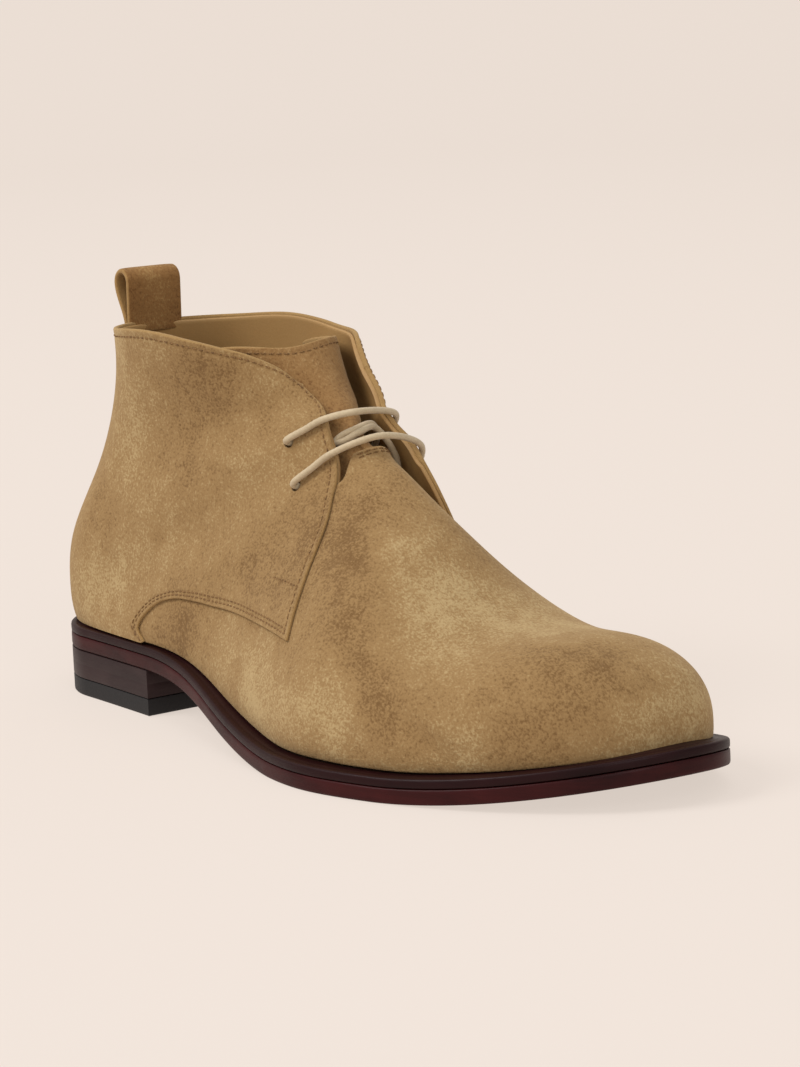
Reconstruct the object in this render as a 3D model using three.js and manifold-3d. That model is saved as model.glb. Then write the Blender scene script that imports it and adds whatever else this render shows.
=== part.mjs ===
// A right-foot chukka boot in suede on a welted leather sole, empty and standing on its sole.
// Millimetres. +X runs from the heel to the toe, +Y to the wearer's left (the inner side of a
// right boot) and +Z up. While the pieces are made, x = 0 is the back of the sole and z = 0 the
// ground; the whole group is then moved so that its origin is the middle of its footprint.
import * as THREE from 'three';
import { mergeVertices } from 'three/addons/utils/BufferGeometryUtils.js';
import Module from 'manifold-3d';

const wasm = await Module();
wasm.setup();

// ---------------------------------------------------------------- driving dimensions
const SOLE_LENGTH = 302;
const OUTSOLE = 5;            // thickness of the leather outsole
const WELT = 3;               // thickness of the welt
const HEEL_LIFT = 15.8;       // height of the heel under the outsole
const TOP_PIECE = 6;          // rubber part of that height
const BREAST = 77.9;          // front face of the heel, at the outer edge
const BREAST_SLANT = THREE.MathUtils.degToRad(-3.4);
const TREAD = [185, 232];     // the forepart touches the ground between these
const TOE_SPRING = 9.2;
const HEEL_ROUND = 33;        // length of the round back of the sole
const TOE_ROUND = 228;        // the sole starts to close towards the toe here
const GAP = 0.3;              // clearance between neighbouring pieces
const VAMP_WALL = 1.8;
const QUARTER_PROUD = 1.2;    // the quarters stand this much outside the vamp
const FUSE = 0.9;             // how deep the quarters sink into the vamp where they overlap
const TONGUE = 2.2;
const LACE_HOLLOW = 3.3;      // the tongue sinks this much more where the lace passes over it
const INSOLE_ROOM = 0.9;      // the insole clears the leaning wall of the upper by this much more
const LACE_RADIUS = 1.2;
const EYELET_RADIUS = 2.2;
const FLARE = 9.5;            // how far the inner facing stands off the tongue

// ---------------------------------------------------------------- tables
// Sections of the upper. Each section lies in a plane that fans out about the instep: it runs
// from a point at the back or underneath (backX, backZ) to one on the ridge (ridgeX, ridgeZ).
// outer and inner are its half widths, widest the share of its height where it is widest,
// round and flat the roundness above and below that, taper the narrowing towards the ridge,
// and lean and sway the shift of the ridge and of the bottom towards the inner side.
const FORM = table('at backX backZ ridgeX ridgeZ outer inner widest round taper flat lean sway', [
  [0, 37.2, 152, 110, 151, 31.8, 31.8, 0.48, 2.1, 0, 2.1, 0, 0],
  [16, 35.6, 138, 117, 138.5, 30.9, 30.8, 0.46, 2.1, 0, 2.1, 1, 1],
  [40, 31.2, 116, 127, 123, 28.9, 28.8, 0.41, 2.05, 0.05, 2.1, 3, 3],
  [62, 21.2, 94, 136.5, 112.5, 27.4, 26.8, 0.34, 2, 0.12, 2.1, 4.4, 4.4],
  [84, 9.1, 70, 145, 106.6, 28, 26.2, 0.27, 2, 0.16, 2.1, 4.3, 3.8],
  [102, 0.8, 47, 152, 102.6, 30.8, 26, 0.22, 2, 0.18, 2.1, 2.5, 1.5],
  [114, 0.2, 30, 156.5, 100.1, 32.2, 27.5, 0.21, 2, 0.18, 2.1, 2.7, 1.2],
  [124, 5.2, 16, 160.5, 97.4, 32.9, 29.2, 0.22, 2, 0.18, 2.15, 3.5, 1.5],
  [132, 23, 11, 164, 95.3, 34.2, 29.5, 0.23, 2, 0.18, 2.25, 4.1, 1.6],
  [142, 48, 9.5, 168, 92.1, 35.3, 28.4, 0.245, 2, 0.18, 2.4, 4.1, 1.6],
  [158, 85, 7, 175.5, 88.2, 35.7, 24.9, 0.27, 2, 0.16, 2.7, 4.3, 1.3],
  [176, 125, 2, 186, 81.5, 41.9, 25.9, 0.29, 2, 0.12, 2.8, 4.8, 0.8],
  [194, 160, -2, 198.5, 72.7, 48.5, 32.7, 0.31, 2, 0.08, 2.8, 4.5, 0.5],
  [214, 192, -4, 212, 61.2, 53.1, 42, 0.33, 2, 0.05, 2.7, 4.3, 1.2],
  [232, 222, -4, 228, 50.3, 51.3, 45.8, 0.36, 2.1, 0.02, 2.7, 6, 4],
  [252, 247, -3, 248, 46.4, 47.2, 46, 0.38, 2.2, 0, 2.7, 8.6, 7.6],
  [272, 268, -1, 268, 47.8, 45.5, 45, 0.40, 2.3, 0, 2.7, 11.7, 11.7],
  [299, 295, 3, 295, 45, 47, 47, 0.42, 2.4, 0, 2.7, 17.2, 17.2],
]);
const TOE_TIP = { z: 15, start: 226, width: 2.15, height: 3 };

// Half widths of the sole to either side of its centre line, and how far that line has moved
// to the inner side.
const SOLE = table('x outer inner centre', [
  [0, 33.5, 33.5, 0],
  [35, 33.5, 33.5, 0],
  [70, 34.5, 32, 0],
  [105, 37.3, 28.5, 0],
  [140, 45.3, 31, 0],
  [175, 52.3, 41, 0],
  [205, 55.9, 49.5, 1],
  [235, 52.6, 51, 5.1],
  [270, 48.2, 47.5, 11.6],
  [302, 44.7, 44, 18.2],
]);
// How far the upper stands in from the edge of the welt.
const WELT_SHOWN = table('x outer inner', [
  [0, 1.8, 1.8],
  [80, 2.3, 2.3],
  [115, 4, 2.6],
  [160, 6, 5.5],
  [302, 6, 6],
]);

// Edges of the quarters on the form, as section and angle round it (0 at the ridge, half a
// turn at the back): the collar, the front edge of the facing and the side seam.
const COLLAR = [[61, 0.29], [49, 0.40], [41, 0.59], [36, 0.82], [32, 1.07], [28, 1.44], [28.5, 2.18]];
const INNER_COLLAR = [[61, 0.38], [47, 0.45], [40, 0.54], [37, 0.65], [35, 0.77], [32.5, 0.99], [30, 1.21], [28, 1.53],
  [28.5, 2.27]];
const COLLAR_BACK = 28.5;
const FACING = [[61, 0.29], [82, 0.24], [94, 0.23], [115, 0.29], [129, 0.35], [144, 0.44], [155, 0.56],
  [167, 0.71], [178, 0.92], [191, 1.21]];
const SIDE_SEAM = [[191, 1.21], [181, 1.25], [167, 1.31], [155, 1.35], [147, 1.36], [141, 1.38],
  [138, 1.43], [138, 1.51], [140, 1.60]];
const SEAM_FOOT = 144;            // the section where the side seam comes down to the welt
const HEEL_SECTION = 122;         // the section that meets the welt where the heel starts to round
const INNER_FACING = [[61, 0.38], [82, 0.33], [94, 0.32], [115, 0.37], [129, 0.40], [144, 0.41], [155, 0.44],
  [167, 0.52], [178, 0.70], [186, 0.95], [191, 1.21]];
const EYELETS = [{ at: 107, angle: 0.52 }, { at: 135, angle: 0.63 }];         // upper, lower
const INNER_EYELETS = [{ at: 120, angle: 0.63 }, { at: 142, angle: 0.66 }];   // the inner quarter sits lower

// ---------------------------------------------------------------- small helpers
function table(names, rows) {
  const columns = names.split(' ');
  return { columns, rows, keys: rows.map((row) => row[0]) };
}

// Natural cubic spline through (xs, ys).
function spline(xs, ys) {
  const n = xs.length - 1;
  const h = xs.slice(1).map((x, i) => x - xs[i]);
  const diagonal = new Array(n + 1).fill(1);
  const right = new Array(n + 1).fill(0);
  const upper = new Array(n + 1).fill(0);
  for (let i = 1; i < n; i++) {
    const slope = (ys[i + 1] - ys[i]) / h[i] - (ys[i] - ys[i - 1]) / h[i - 1];
    const lower = h[i - 1];
    diagonal[i] = 2 * (h[i - 1] + h[i]) - lower * upper[i - 1] / diagonal[i - 1];
    upper[i] = h[i];
    right[i] = 6 * slope - lower * right[i - 1] / diagonal[i - 1];
  }
  const bend = new Array(n + 1).fill(0);
  for (let i = n - 1; i > 0; i--) bend[i] = (right[i] - upper[i] * bend[i + 1]) / diagonal[i];
  return (x) => {
    let i = 0;
    while (i < n - 1 && x > xs[i + 1]) i++;
    const a = xs[i + 1] - x;
    const b = x - xs[i];
    return (bend[i] * a ** 3 + bend[i + 1] * b ** 3) / (6 * h[i])
      + (ys[i] / h[i] - bend[i] * h[i] / 6) * a + (ys[i + 1] / h[i] - bend[i + 1] * h[i] / 6) * b;
  };
}

// Named columns of a table, each as a smooth function of the first column.
function smoothColumns(t) {
  const curves = t.columns.slice(1).map((_, i) => spline(t.keys, t.rows.map((row) => row[i + 1])));
  return (key) => Object.fromEntries(curves.map((curve, i) => [t.columns[i + 1], curve(key)]));
}

// Straight interpolation in a list of [key, value] rows, held at both ends.
function between(rows, key) {
  if (key <= rows[0][0]) return rows[0][1];
  for (let i = 1; i < rows.length; i++) {
    if (key <= rows[i][0]) {
      const share = (key - rows[i - 1][0]) / (rows[i][0] - rows[i - 1][0]);
      return rows[i - 1][1] + share * (rows[i][1] - rows[i - 1][1]);
    }
  }
  return rows[rows.length - 1][1];
}

const clamp = (x) => Math.min(1, Math.max(0, x));
const ease = (x) => clamp(x) ** 2 * (3 - 2 * clamp(x));
const mix = (a, b, share) => a + (b - a) * share;

// Where a falling or rising function of one number is zero, by halving.
function root(f, low, high) {
  const sign = Math.sign(f(low));
  for (let i = 0; i < 40; i++) {
    const middle = (low + high) / 2;
    if (Math.sign(f(middle)) === sign) low = middle;
    else high = middle;
  }
  return (low + high) / 2;
}

// ---------------------------------------------------------------- sole and form
const soleColumns = smoothColumns(SOLE);
const formColumns = smoothColumns(FORM);
const FORM_END = FORM.keys[FORM.keys.length - 1];

// 1 until start, then closing to 0 at end like a rounded corner.
function closure(x, start, end, power) {
  return (1 - clamp((x - start) / (end - start)) ** power) ** (1 / power);
}

// Underside of the outsole: raised over the heel, an S-shaped arch, a flat tread, toe spring.
function soleBottom(x) {
  if (x < TREAD[0]) return HEEL_LIFT * ease((TREAD[0] - x) / (TREAD[0] - BREAST));
  return TOE_SPRING * clamp((x - TREAD[1]) / (SOLE_LENGTH - TREAD[1])) ** 1.8;
}
const weltTop = (x) => soleBottom(x) + OUTSOLE + WELT;

// A point of the sole's outline: share runs 0..1 from heel to toe, side is -1 outer, 1 inner.
function outlinePoint(share, side) {
  const x = SOLE_LENGTH * (1 - Math.cos(Math.PI * share)) / 2;
  const { outer, inner, centre } = soleColumns(x);
  const heel = Math.sqrt(1 - clamp((HEEL_ROUND - x) / HEEL_ROUND) ** 2);
  const round = closure(x, TOE_ROUND, SOLE_LENGTH, 2.15) * heel;
  return new THREE.Vector2(x, centre + side * (side < 0 ? outer : inner) * round);
}

// The same outline moved in by a width that may depend on x and side.
function insetPoint(share, side, width) {
  const step = 1e-3;
  const here = outlinePoint(share, side);
  const back = outlinePoint(Math.max(0, share - step), side);
  const front = outlinePoint(Math.min(1, share + step), side);
  if (share <= 0) return here.add(new THREE.Vector2(width(here.x, side), 0));
  if (share >= 1) return here.sub(new THREE.Vector2(width(here.x, side), 0));
  const along = front.sub(back).normalize();
  return here.add(new THREE.Vector2(side * along.y, -side * along.x).multiplyScalar(width(here.x, side)));
}
const weltShown = (x, side) => between(WELT_SHOWN.rows.map((row) => [row[0], row[side < 0 ? 1 : 2]]), x);

// A point on the form. The angle is 0 on the ridge, grows over the outer side to half a turn
// at the back or underneath, and on over the inner side.
function formPoint(at, angle) {
  const c = formColumns(at);
  const wide = closure(at, TOE_TIP.start, FORM_END, TOE_TIP.width);
  const high = closure(at, TOE_TIP.start + 8, FORM_END, TOE_TIP.height);
  const ridgeZ = mix(TOE_TIP.z, c.ridgeZ, high);
  const backZ = mix(TOE_TIP.z, c.backZ, high);
  const cos = Math.cos(angle);
  const sin = Math.sin(angle);
  const power = 2 / (cos >= 0 ? c.round : c.flat);
  const rise = Math.abs(cos) ** power;
  const height = cos >= 0 ? c.widest + (1 - c.widest) * rise : c.widest * (1 - rise);
  const spread = Math.abs(sin) ** power * (cos >= 0 ? 1 - c.taper * rise : 1);
  const half = (sin >= 0 ? -c.outer : c.inner) * wide;
  return new THREE.Vector3(
    mix(c.backX, c.ridgeX, height),
    mix(c.sway, c.lean, height) + half * spread,
    mix(backZ, ridgeZ, height),
  );
}

function formNormal(at, angle) {
  const step = 1e-3;
  const along = formPoint(Math.min(at + step, FORM_END), angle).sub(formPoint(at - step, angle));
  const round = formPoint(at, angle + step).sub(formPoint(at, angle - step));
  return round.cross(along).normalize();
}

const offForm = (at, angle, offset) => formPoint(at, angle).addScaledVector(formNormal(at, angle), offset);

// The line where the upper meets the welt.
const FEATHER_RISE = 1;
function aboveFeather(at, angle) {
  const p = formPoint(at, angle);
  return p.z - weltTop(p.x) - FEATHER_RISE;
}
const featherAngle = (at, side) => root((angle) => aboveFeather(at, -side * angle), 0, Math.PI);
const featherSection = (angle) => root((at) => aboveFeather(at, angle), 100, 150);
const VAMP_END = root((at) => aboveFeather(at, 0), 285, FORM_END);

// ---------------------------------------------------------------- meshes
// Closed geometry from points and triangles, with shared points merged and faces outwards.
function closed(points, triangles) {
  let geometry = new THREE.BufferGeometry();
  geometry.setAttribute('position', new THREE.Float32BufferAttribute(points.flatMap((p) => [p.x, p.y, p.z]), 3));
  geometry.setIndex(triangles.flat());
  geometry = mergeVertices(geometry, 1e-4);
  const index = Array.from(geometry.index.array);
  const kept = [];
  for (let i = 0; i < index.length; i += 3) {
    const [a, b, c] = index.slice(i, i + 3);
    if (a !== b && b !== c && c !== a) kept.push(a, b, c);
  }
  const position = geometry.attributes.position;
  const corner = (i) => new THREE.Vector3().fromBufferAttribute(position, kept[i]);
  let volume = 0;
  for (let i = 0; i < kept.length; i += 3) volume += corner(i).dot(corner(i + 1).cross(corner(i + 2)));
  geometry.setIndex(volume > 0 ? kept : kept.reverse());
  return geometry;
}

// A sheet with two faces: place(u, v, face) gives its points, face 0 inside and 1 outside.
function sheet(nu, nv, place) {
  const points = [];
  const triangles = [];
  const size = (nu + 1) * (nv + 1);
  const id = (i, j, face) => face * size + i * (nv + 1) + j;
  const quad = (a, b, c, d) => triangles.push([a, b, c], [a, c, d]);
  for (const face of [0, 1]) {
    for (let i = 0; i <= nu; i++) {
      for (let j = 0; j <= nv; j++) points.push(place(i / nu, j / nv, face));
    }
  }
  for (let i = 0; i < nu; i++) {
    for (let j = 0; j < nv; j++) {
      quad(id(i, j, 1), id(i + 1, j, 1), id(i + 1, j + 1, 1), id(i, j + 1, 1));
      quad(id(i, j, 0), id(i, j + 1, 0), id(i + 1, j + 1, 0), id(i + 1, j, 0));
    }
    quad(id(i, 0, 0), id(i + 1, 0, 0), id(i + 1, 0, 1), id(i, 0, 1));
    quad(id(i, nv, 1), id(i + 1, nv, 1), id(i + 1, nv, 0), id(i, nv, 0));
  }
  for (let j = 0; j < nv; j++) {
    quad(id(0, j, 1), id(0, j + 1, 1), id(0, j + 1, 0), id(0, j, 0));
    quad(id(nu, j, 0), id(nu, j + 1, 0), id(nu, j + 1, 1), id(nu, j, 1));
  }
  return closed(points, triangles);
}

// A solid whose cross-section has four corners, carried round the closed outline of the sole.
function ring(steps, corners) {
  const stations = [];
  for (const side of [-1, 1]) {
    for (let i = 0; i < steps; i++) stations.push([side < 0 ? i / steps : 1 - i / steps, side]);
  }
  const points = stations.flatMap(([share, side]) => corners(share, side));
  const triangles = [];
  stations.forEach((_, i) => {
    const next = (i + 1) % stations.length;
    for (let k = 0; k < 4; k++) {
      const l = (k + 1) % 4;
      triangles.push([4 * i + k, 4 * next + k, 4 * next + l], [4 * i + k, 4 * next + l, 4 * i + l]);
    }
  });
  return closed(points, triangles);
}

function toSolid(geometry) {
  const bare = geometry.clone();
  bare.deleteAttribute('normal');
  bare.deleteAttribute('uv');
  const merged = mergeVertices(bare, 1e-4);
  return new wasm.Manifold(new wasm.Mesh({
    numProp: 3,
    vertProperties: new Float32Array(merged.attributes.position.array),
    triVerts: new Uint32Array(merged.index.array),
  }));
}

function toGeometry(solid) {
  const mesh = solid.getMesh();
  const geometry = new THREE.BufferGeometry();
  geometry.setAttribute('position', new THREE.BufferAttribute(mesh.vertProperties, 3));
  geometry.setIndex(new THREE.BufferAttribute(mesh.triVerts, 1));
  return geometry;
}

// ---------------------------------------------------------------- upper
// The inner facing stands away from the tongue, most at the collar and not at all at its foot.
const TURN = 2 * Math.PI;
const facingAngle = (at) => between(FACING, at);
const innerFacing = (at) => between(INNER_FACING, at);
function flare(at, angle) {
  if (Math.sin(angle) >= 0) return 0;
  const round = TURN - ((angle + TURN) % TURN);
  const edge = innerFacing(at);
  const reach = Math.min(1.25, 1.6 - edge);
  if (reach <= 0.01) return 0;
  const lift = FLARE * (1 - clamp((at - 96) / 98) ** 2.6);
  return lift * (1 - ease((round - edge) / reach));
}
// What lies under the inner facing rises towards it from the middle of the throat on.
function underFlare(at, angle) {
  return flare(at, Math.min(angle, -0.01)) * ease((0.25 - angle) / 0.9);
}

// A curve on the form through [at, angle] points, evenly paced by its length in space.
function edgeCurve(points) {
  const curve = new THREE.CatmullRomCurve3(points.map(([at, angle]) => new THREE.Vector3(at, 40 * angle, 0)));
  const samples = 160;
  const places = [];
  const lengths = [0];
  for (let i = 0; i <= samples; i++) {
    const { x, y } = curve.getPoint(i / samples);
    places.push([x, y / 40]);
    if (i > 0) {
      const step = formPoint(...places[i]).distanceTo(formPoint(...places[i - 1]));
      lengths.push(lengths[i - 1] + step);
    }
  }
  return (share) => {
    const target = share * lengths[samples];
    let i = 1;
    while (i < samples && lengths[i] < target) i++;
    const part = (target - lengths[i - 1]) / (lengths[i] - lengths[i - 1]);
    return places[i].map((value, k) => mix(places[i - 1][k], value, part));
  };
}

const mirrored = (points) => points.map(([at, angle]) => [at, TURN - angle]).reverse();
// The line along the welt from the foot of a side seam to the back of the heel.
function heelLine(side) {
  const points = [];
  for (let at = SEAM_FOOT; at > HEEL_SECTION; at -= 4) points.push([at, featherAngle(at, side)]);
  const last = featherAngle(HEEL_SECTION, side);
  for (let i = 0; i < 3; i++) {
    const angle = mix(last, Math.PI, i / 3);
    points.push([featherSection(angle), angle]);
  }
  return points;
}
const topEdge = edgeCurve([...COLLAR, [COLLAR_BACK, Math.PI], ...mirrored(INNER_COLLAR)]);
const lowEdge = edgeCurve([...SIDE_SEAM, ...heelLine(-1), [featherSection(Math.PI), Math.PI],
  ...mirrored(heelLine(1)), ...mirrored(SIDE_SEAM)]);
const outerEdge = edgeCurve([...FACING].reverse());
const innerEdge = edgeCurve(mirrored(INNER_FACING));

// Both quarters as one sheet: u runs from the outer facing round the back to the inner one,
// v from the side seams and the welt up to the collar.
function quarterPlace(u, v) {
  const low = lowEdge(u);
  const top = topEdge(u);
  const left = outerEdge(v);
  const right = innerEdge(v);
  const corners = [lowEdge(0), lowEdge(1), topEdge(0), topEdge(1)];
  return [0, 1].map((k) => mix(low[k], top[k], v) + mix(left[k], right[k], u)
    - mix(mix(corners[0][k], corners[1][k], u), mix(corners[2][k], corners[3][k], u), v));
}

// The back edge of the vamp: it reaches up to the tongue in the middle, is cut away under the
// facings and runs back under the quarters at the sides. spread is 0 at the ridge, 1 at the welt.
function vampBack(spread) {
  return 134 + 14 * ease((spread - 0.12) / 0.14) * (1 - ease((spread - 0.45) / 0.2));
}

function quarterInside(at, angle) {
  const side = Math.sin(angle) >= 0 ? -1 : 1;
  const round = side < 0 ? angle : TURN - angle;
  const overVamp = at - vampBack(round / featherAngle(Math.min(Math.max(at, 120), VAMP_END), side));
  return mix(-VAMP_WALL, -FUSE, ease(overVamp / 6));
}

function quarters() {
  return sheet(44, 14, (u, v, face) => {
    const [at, angle] = quarterPlace(u, v);
    const offset = face ? QUARTER_PROUD : quarterInside(at, angle);
    return offForm(at, angle, offset + flare(at, angle));
  });
}

function vamp() {
  return sheet(24, 22, (u, v, face) => {
    const spread = 2 * v - 1;
    const side = spread < 0 ? 1 : -1;
    const start = vampBack(Math.abs(spread));
    const at = mix(start, VAMP_END, Math.sin(u * Math.PI / 2));
    return offForm(at, spread * featherAngle(at, side), face ? 0 : -VAMP_WALL);
  });
}

function eyeletDrill({ at, angle }, side) {
  const round = side < 0 ? angle : TURN - angle;
  const middle = offForm(at, round, flare(at, round));
  const drill = new THREE.CylinderGeometry(EYELET_RADIUS, EYELET_RADIUS, 12, 12);
  const turn = new THREE.Quaternion().setFromUnitVectors(new THREE.Vector3(0, 1, 0), formNormal(at, round));
  drill.applyQuaternion(turn);
  drill.translate(middle.x, middle.y, middle.z);
  return toSolid(drill);
}

function upper() {
  let solid = toSolid(quarters()).add(toSolid(vamp()));
  for (const eyelet of EYELETS) solid = solid.subtract(eyeletDrill(eyelet, -1));
  for (const eyelet of INNER_EYELETS) solid = solid.subtract(eyeletDrill(eyelet, 1));
  return toGeometry(solid);
}

// ---------------------------------------------------------------- tongue
const TONGUE_AT = [37, 147];
const TONGUE_RISE = 0.6;      // share of the inner facing's stand-off that the tongue follows
const TONGUE_HALF = [[37, 1.25], [60, 1.0], [90, 0.85], [120, 0.75], [147, 0.6]];
// Depth of its outside under the form: deeper beside the outer facing, where the lace runs.
function tongueDepth(at, angle) {
  const underLace = ease((at - 86) / 12) * (1 - ease((at - 140) / 5));
  return VAMP_WALL + 2 * GAP + LACE_HOLLOW * underLace * ease((angle + 0.25) / 0.35);
}
function tongue() {
  return sheet(18, 14, (u, v, face) => {
    const at = mix(TONGUE_AT[0], TONGUE_AT[1], u);
    const angle = (2 * v - 1) * between(TONGUE_HALF, at);
    const lift = TONGUE_RISE * underFlare(at, angle) * (1 - ease((at - 98) / 26));
    return offForm(at, angle, lift - tongueDepth(at, angle) - (face ? 0 : TONGUE));
  });
}

// ---------------------------------------------------------------- insole, welt and outsole
const weltWidth = (x, side) => weltShown(x, side) + (x < 150 ? 3.4 : 2.4);
const insoleInset = (x, side) => weltWidth(x, side) + INSOLE_ROOM;
const PLATE_STEPS = [36, 6];

// A plate that follows the sole: bottom and top are heights as functions of x.
function plate(inset, bottom, top) {
  return sheet(...PLATE_STEPS, (u, v, face) => {
    const outer = insetPoint(u, -1, inset);
    const inner = insetPoint(u, 1, inset);
    const { x, y } = outer.lerp(inner, v);
    return new THREE.Vector3(x, y, face ? top(x) : bottom(x));
  });
}

function welt() {
  return ring(36, (share, side) => {
    const edge = outlinePoint(share, side);
    const inside = insetPoint(share, side, weltWidth);
    const corner = ({ x, y }, drop) => new THREE.Vector3(x, y, weltTop(x) - drop);
    return [corner(edge, WELT), corner(edge, 0), corner(inside, 0), corner(inside, WELT)];
  });
}

const outsole = () => plate(() => 0, soleBottom, (x) => weltTop(x) - WELT - GAP);
const INSOLE_ABOVE = 2;
const insole = () => plate(insoleInset, (x) => weltTop(x) - WELT, (x) => weltTop(x) + INSOLE_ABOVE);

// ---------------------------------------------------------------- heel
// The heel's plan: the sole's own outline behind the breast, which is cut slightly askew.
function heelShape() {
  const heelEnd = root((share) => outlinePoint(share, -1).x - BREAST, 0, 0.6);
  const start = outlinePoint(heelEnd, -1);
  const innerEnd = root((share) => {
    const p = outlinePoint(share, 1);
    return p.x - BREAST - (p.y - start.y) * Math.tan(BREAST_SLANT);
  }, 0, 0.6);
  const steps = 14;
  const points = [];
  for (let i = 0; i <= steps; i++) points.push(outlinePoint(heelEnd * (1 - i / steps), -1));
  for (let i = 1; i <= steps; i++) points.push(outlinePoint(innerEnd * i / steps, 1));
  return new THREE.Shape(points);
}

function heelBlock(bottom, top) {
  const block = new THREE.ExtrudeGeometry(heelShape(), { depth: top - bottom, bevelEnabled: false });
  block.translate(0, 0, bottom);
  return block;
}

// ---------------------------------------------------------------- pull loop
// A strap folded into a flat drop, its two ends together on the back of the collar.
const LOOP = { width: 20, height: 19, depth: 10, strap: 1.8, lean: -3, offCentre: 1.5 };
// Outline of the drop seen from the side, moved in by grow: x forward, y up.
function dropOutline(grow) {
  const { height, depth, strap, lean } = LOOP;
  const half = depth / 2 - grow;
  const top = height - depth / 2;
  const foot = strap - 0.8 * grow;
  const bottom = 4 * grow;
  const path = new THREE.Path();
  path.moveTo(-foot, bottom);
  path.bezierCurveTo(-foot, bottom + 0.3 * top, lean - half, 0.6 * top, lean - half, top);
  path.absarc(lean, top, half, Math.PI, 0, true);
  path.bezierCurveTo(lean + half, 0.6 * top, foot, bottom + 0.3 * top, foot, bottom);
  return path.getPoints(6).filter((p, i, all) => i === 0 || (p.distanceTo(all[i - 1]) > 0.01 && p.distanceTo(all[0]) > 0.01));
}
function pullLoop() {
  const foot = offForm(COLLAR_BACK, Math.PI, (QUARTER_PROUD - VAMP_WALL) / 2);
  const outline = new THREE.Shape(dropOutline(0));
  outline.holes.push(new THREE.Path(dropOutline(LOOP.strap).reverse()));
  const strap = new THREE.ExtrudeGeometry(outline, { depth: LOOP.width, bevelEnabled: false });
  strap.rotateX(Math.PI / 2);
  strap.translate(foot.x, LOOP.width / 2 - LOOP.offCentre, foot.z + 3 * GAP);
  return strap;
}

// ---------------------------------------------------------------- lace
// Routes as [section, angle, height above the quarter or the form], chosen by hand. A bar comes
// up through the outer eyelet, crosses the throat and goes down through the inner one; the two
// strands join them underneath and cross in the middle of the throat.
const OUTSIDE = QUARTER_PROUD + LACE_RADIUS + 0.45;
const INSIDE = -VAMP_WALL - LACE_RADIUS - 0.45;
function laceBar(outer, inner) {
  const edge = facingAngle(outer.at - 4);
  const farEdge = innerFacing(inner.at - 5);
  return [
    [outer.at, outer.angle, INSIDE], [outer.at, outer.angle, -0.3], [outer.at, outer.angle, OUTSIDE - 0.4],
    [outer.at - 2, mix(outer.angle, edge, 0.5), OUTSIDE + 0.3], [outer.at - 4, edge, OUTSIDE + 0.5],
    [mix(outer.at - 4, inner.at - 5, 0.5), 0.02, OUTSIDE + 2.6],
    [inner.at - 5, -farEdge, OUTSIDE + 0.2], [inner.at - 2, -mix(inner.angle, farEdge, 0.4), OUTSIDE + 0.1],
    [inner.at, -inner.angle, OUTSIDE - 0.7], [inner.at, -inner.angle, -0.3], [inner.at, -inner.angle, INSIDE],
  ];
}
// A strand runs under the outer facing, over the tongue at section across and under the inner facing.
function laceStrand(outer, inner, across) {
  return [
    [outer.at, outer.angle, INSIDE], [mix(outer.at, across, 0.6), 0.4, INSIDE], [across, 0.25, INSIDE],
    [across - 2, -0.02, INSIDE + 0.4], [across - 2, -0.3, INSIDE + 0.2],
    [mix(across, inner.at, 0.6), -mix(0.3, inner.angle, 0.6), INSIDE], [inner.at, -inner.angle, INSIDE],
  ];
}
function laceTube(route, lift) {
  const points = route.map(([at, angle, height]) => offForm(at, angle, height + lift(at, angle)));
  const path = new THREE.CatmullRomCurve3(points);
  const section = new THREE.Shape();
  section.absarc(0, 0, LACE_RADIUS, 0, TURN);
  const steps = Math.round(path.getLength() / (2.8 * LACE_RADIUS));
  return new THREE.ExtrudeGeometry(section, { steps, curveSegments: 4, extrudePath: path, bevelEnabled: false });
}
function lace() {
  const [top, low] = EYELETS;
  const [innerTop, innerLow] = INNER_EYELETS;
  const tubes = [laceTube(laceBar(top, innerTop), flare), laceTube(laceBar(low, innerLow), flare),
    laceTube(laceStrand(low, innerTop, 114), underFlare), laceTube(laceStrand(top, innerLow, 118), underFlare)];
  return toGeometry(tubes.map(toSolid).reduce((a, b) => a.add(b)));
}

// ---------------------------------------------------------------- the boot
const SUEDE = { color: 0xa98557, roughness: 0.95 };
const SOLE_EDGE = { color: 0x4a2224, roughness: 0.35 };
const PIECES = [
  ['upper', upper(), SUEDE],
  ['tongue', tongue(), SUEDE],
  ['insole', insole(), { color: 0x9a7145, roughness: 0.6 }],
  ['welt', welt(), SOLE_EDGE],
  ['outsole', outsole(), SOLE_EDGE],
  ['heel_stack', heelBlock(TOP_PIECE, HEEL_LIFT - GAP), { color: 0x3d2a28, roughness: 0.4 }],
  ['heel_top_piece', heelBlock(0, TOP_PIECE - GAP), { color: 0x1c1a19, roughness: 0.7 }],
  ['pull_loop', pullLoop(), SUEDE],
  ['lace', lace(), { color: 0xb8a68a, roughness: 0.8 }],
];

const boot = new THREE.Group();
for (const [name, geometry, finish] of PIECES) {
  const mesh = new THREE.Mesh(geometry, new THREE.MeshStandardMaterial({ metalness: 0, ...finish }));
  mesh.name = name;
  boot.add(mesh);
}
const box = new THREE.Box3().setFromObject(boot, true);
boot.position.set(-(box.min.x + box.max.x) / 2, -(box.min.y + box.max.y) / 2, -box.min.z);

export default boot;
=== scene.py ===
# %% [markdown]
# # A suede chukka boot, piece by piece
# The boot stands on a fixed frame: a plain model with the true sizes, one node for each piece that a
# bootmaker cuts. Here each node gets its real look. Every leather piece is a surface worked out on a
# grid from two numbers, the way a pattern piece lies on the last, and then given its thickness. The
# work is in millimetres, with x = 0 at the back of the sole and z = 0 on the floor, and is moved into
# the frame's metres at the last moment.

# %% Load the frame
import math

import bmesh
import bpy
import numpy as np
from mathutils import Matrix, Vector


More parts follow.
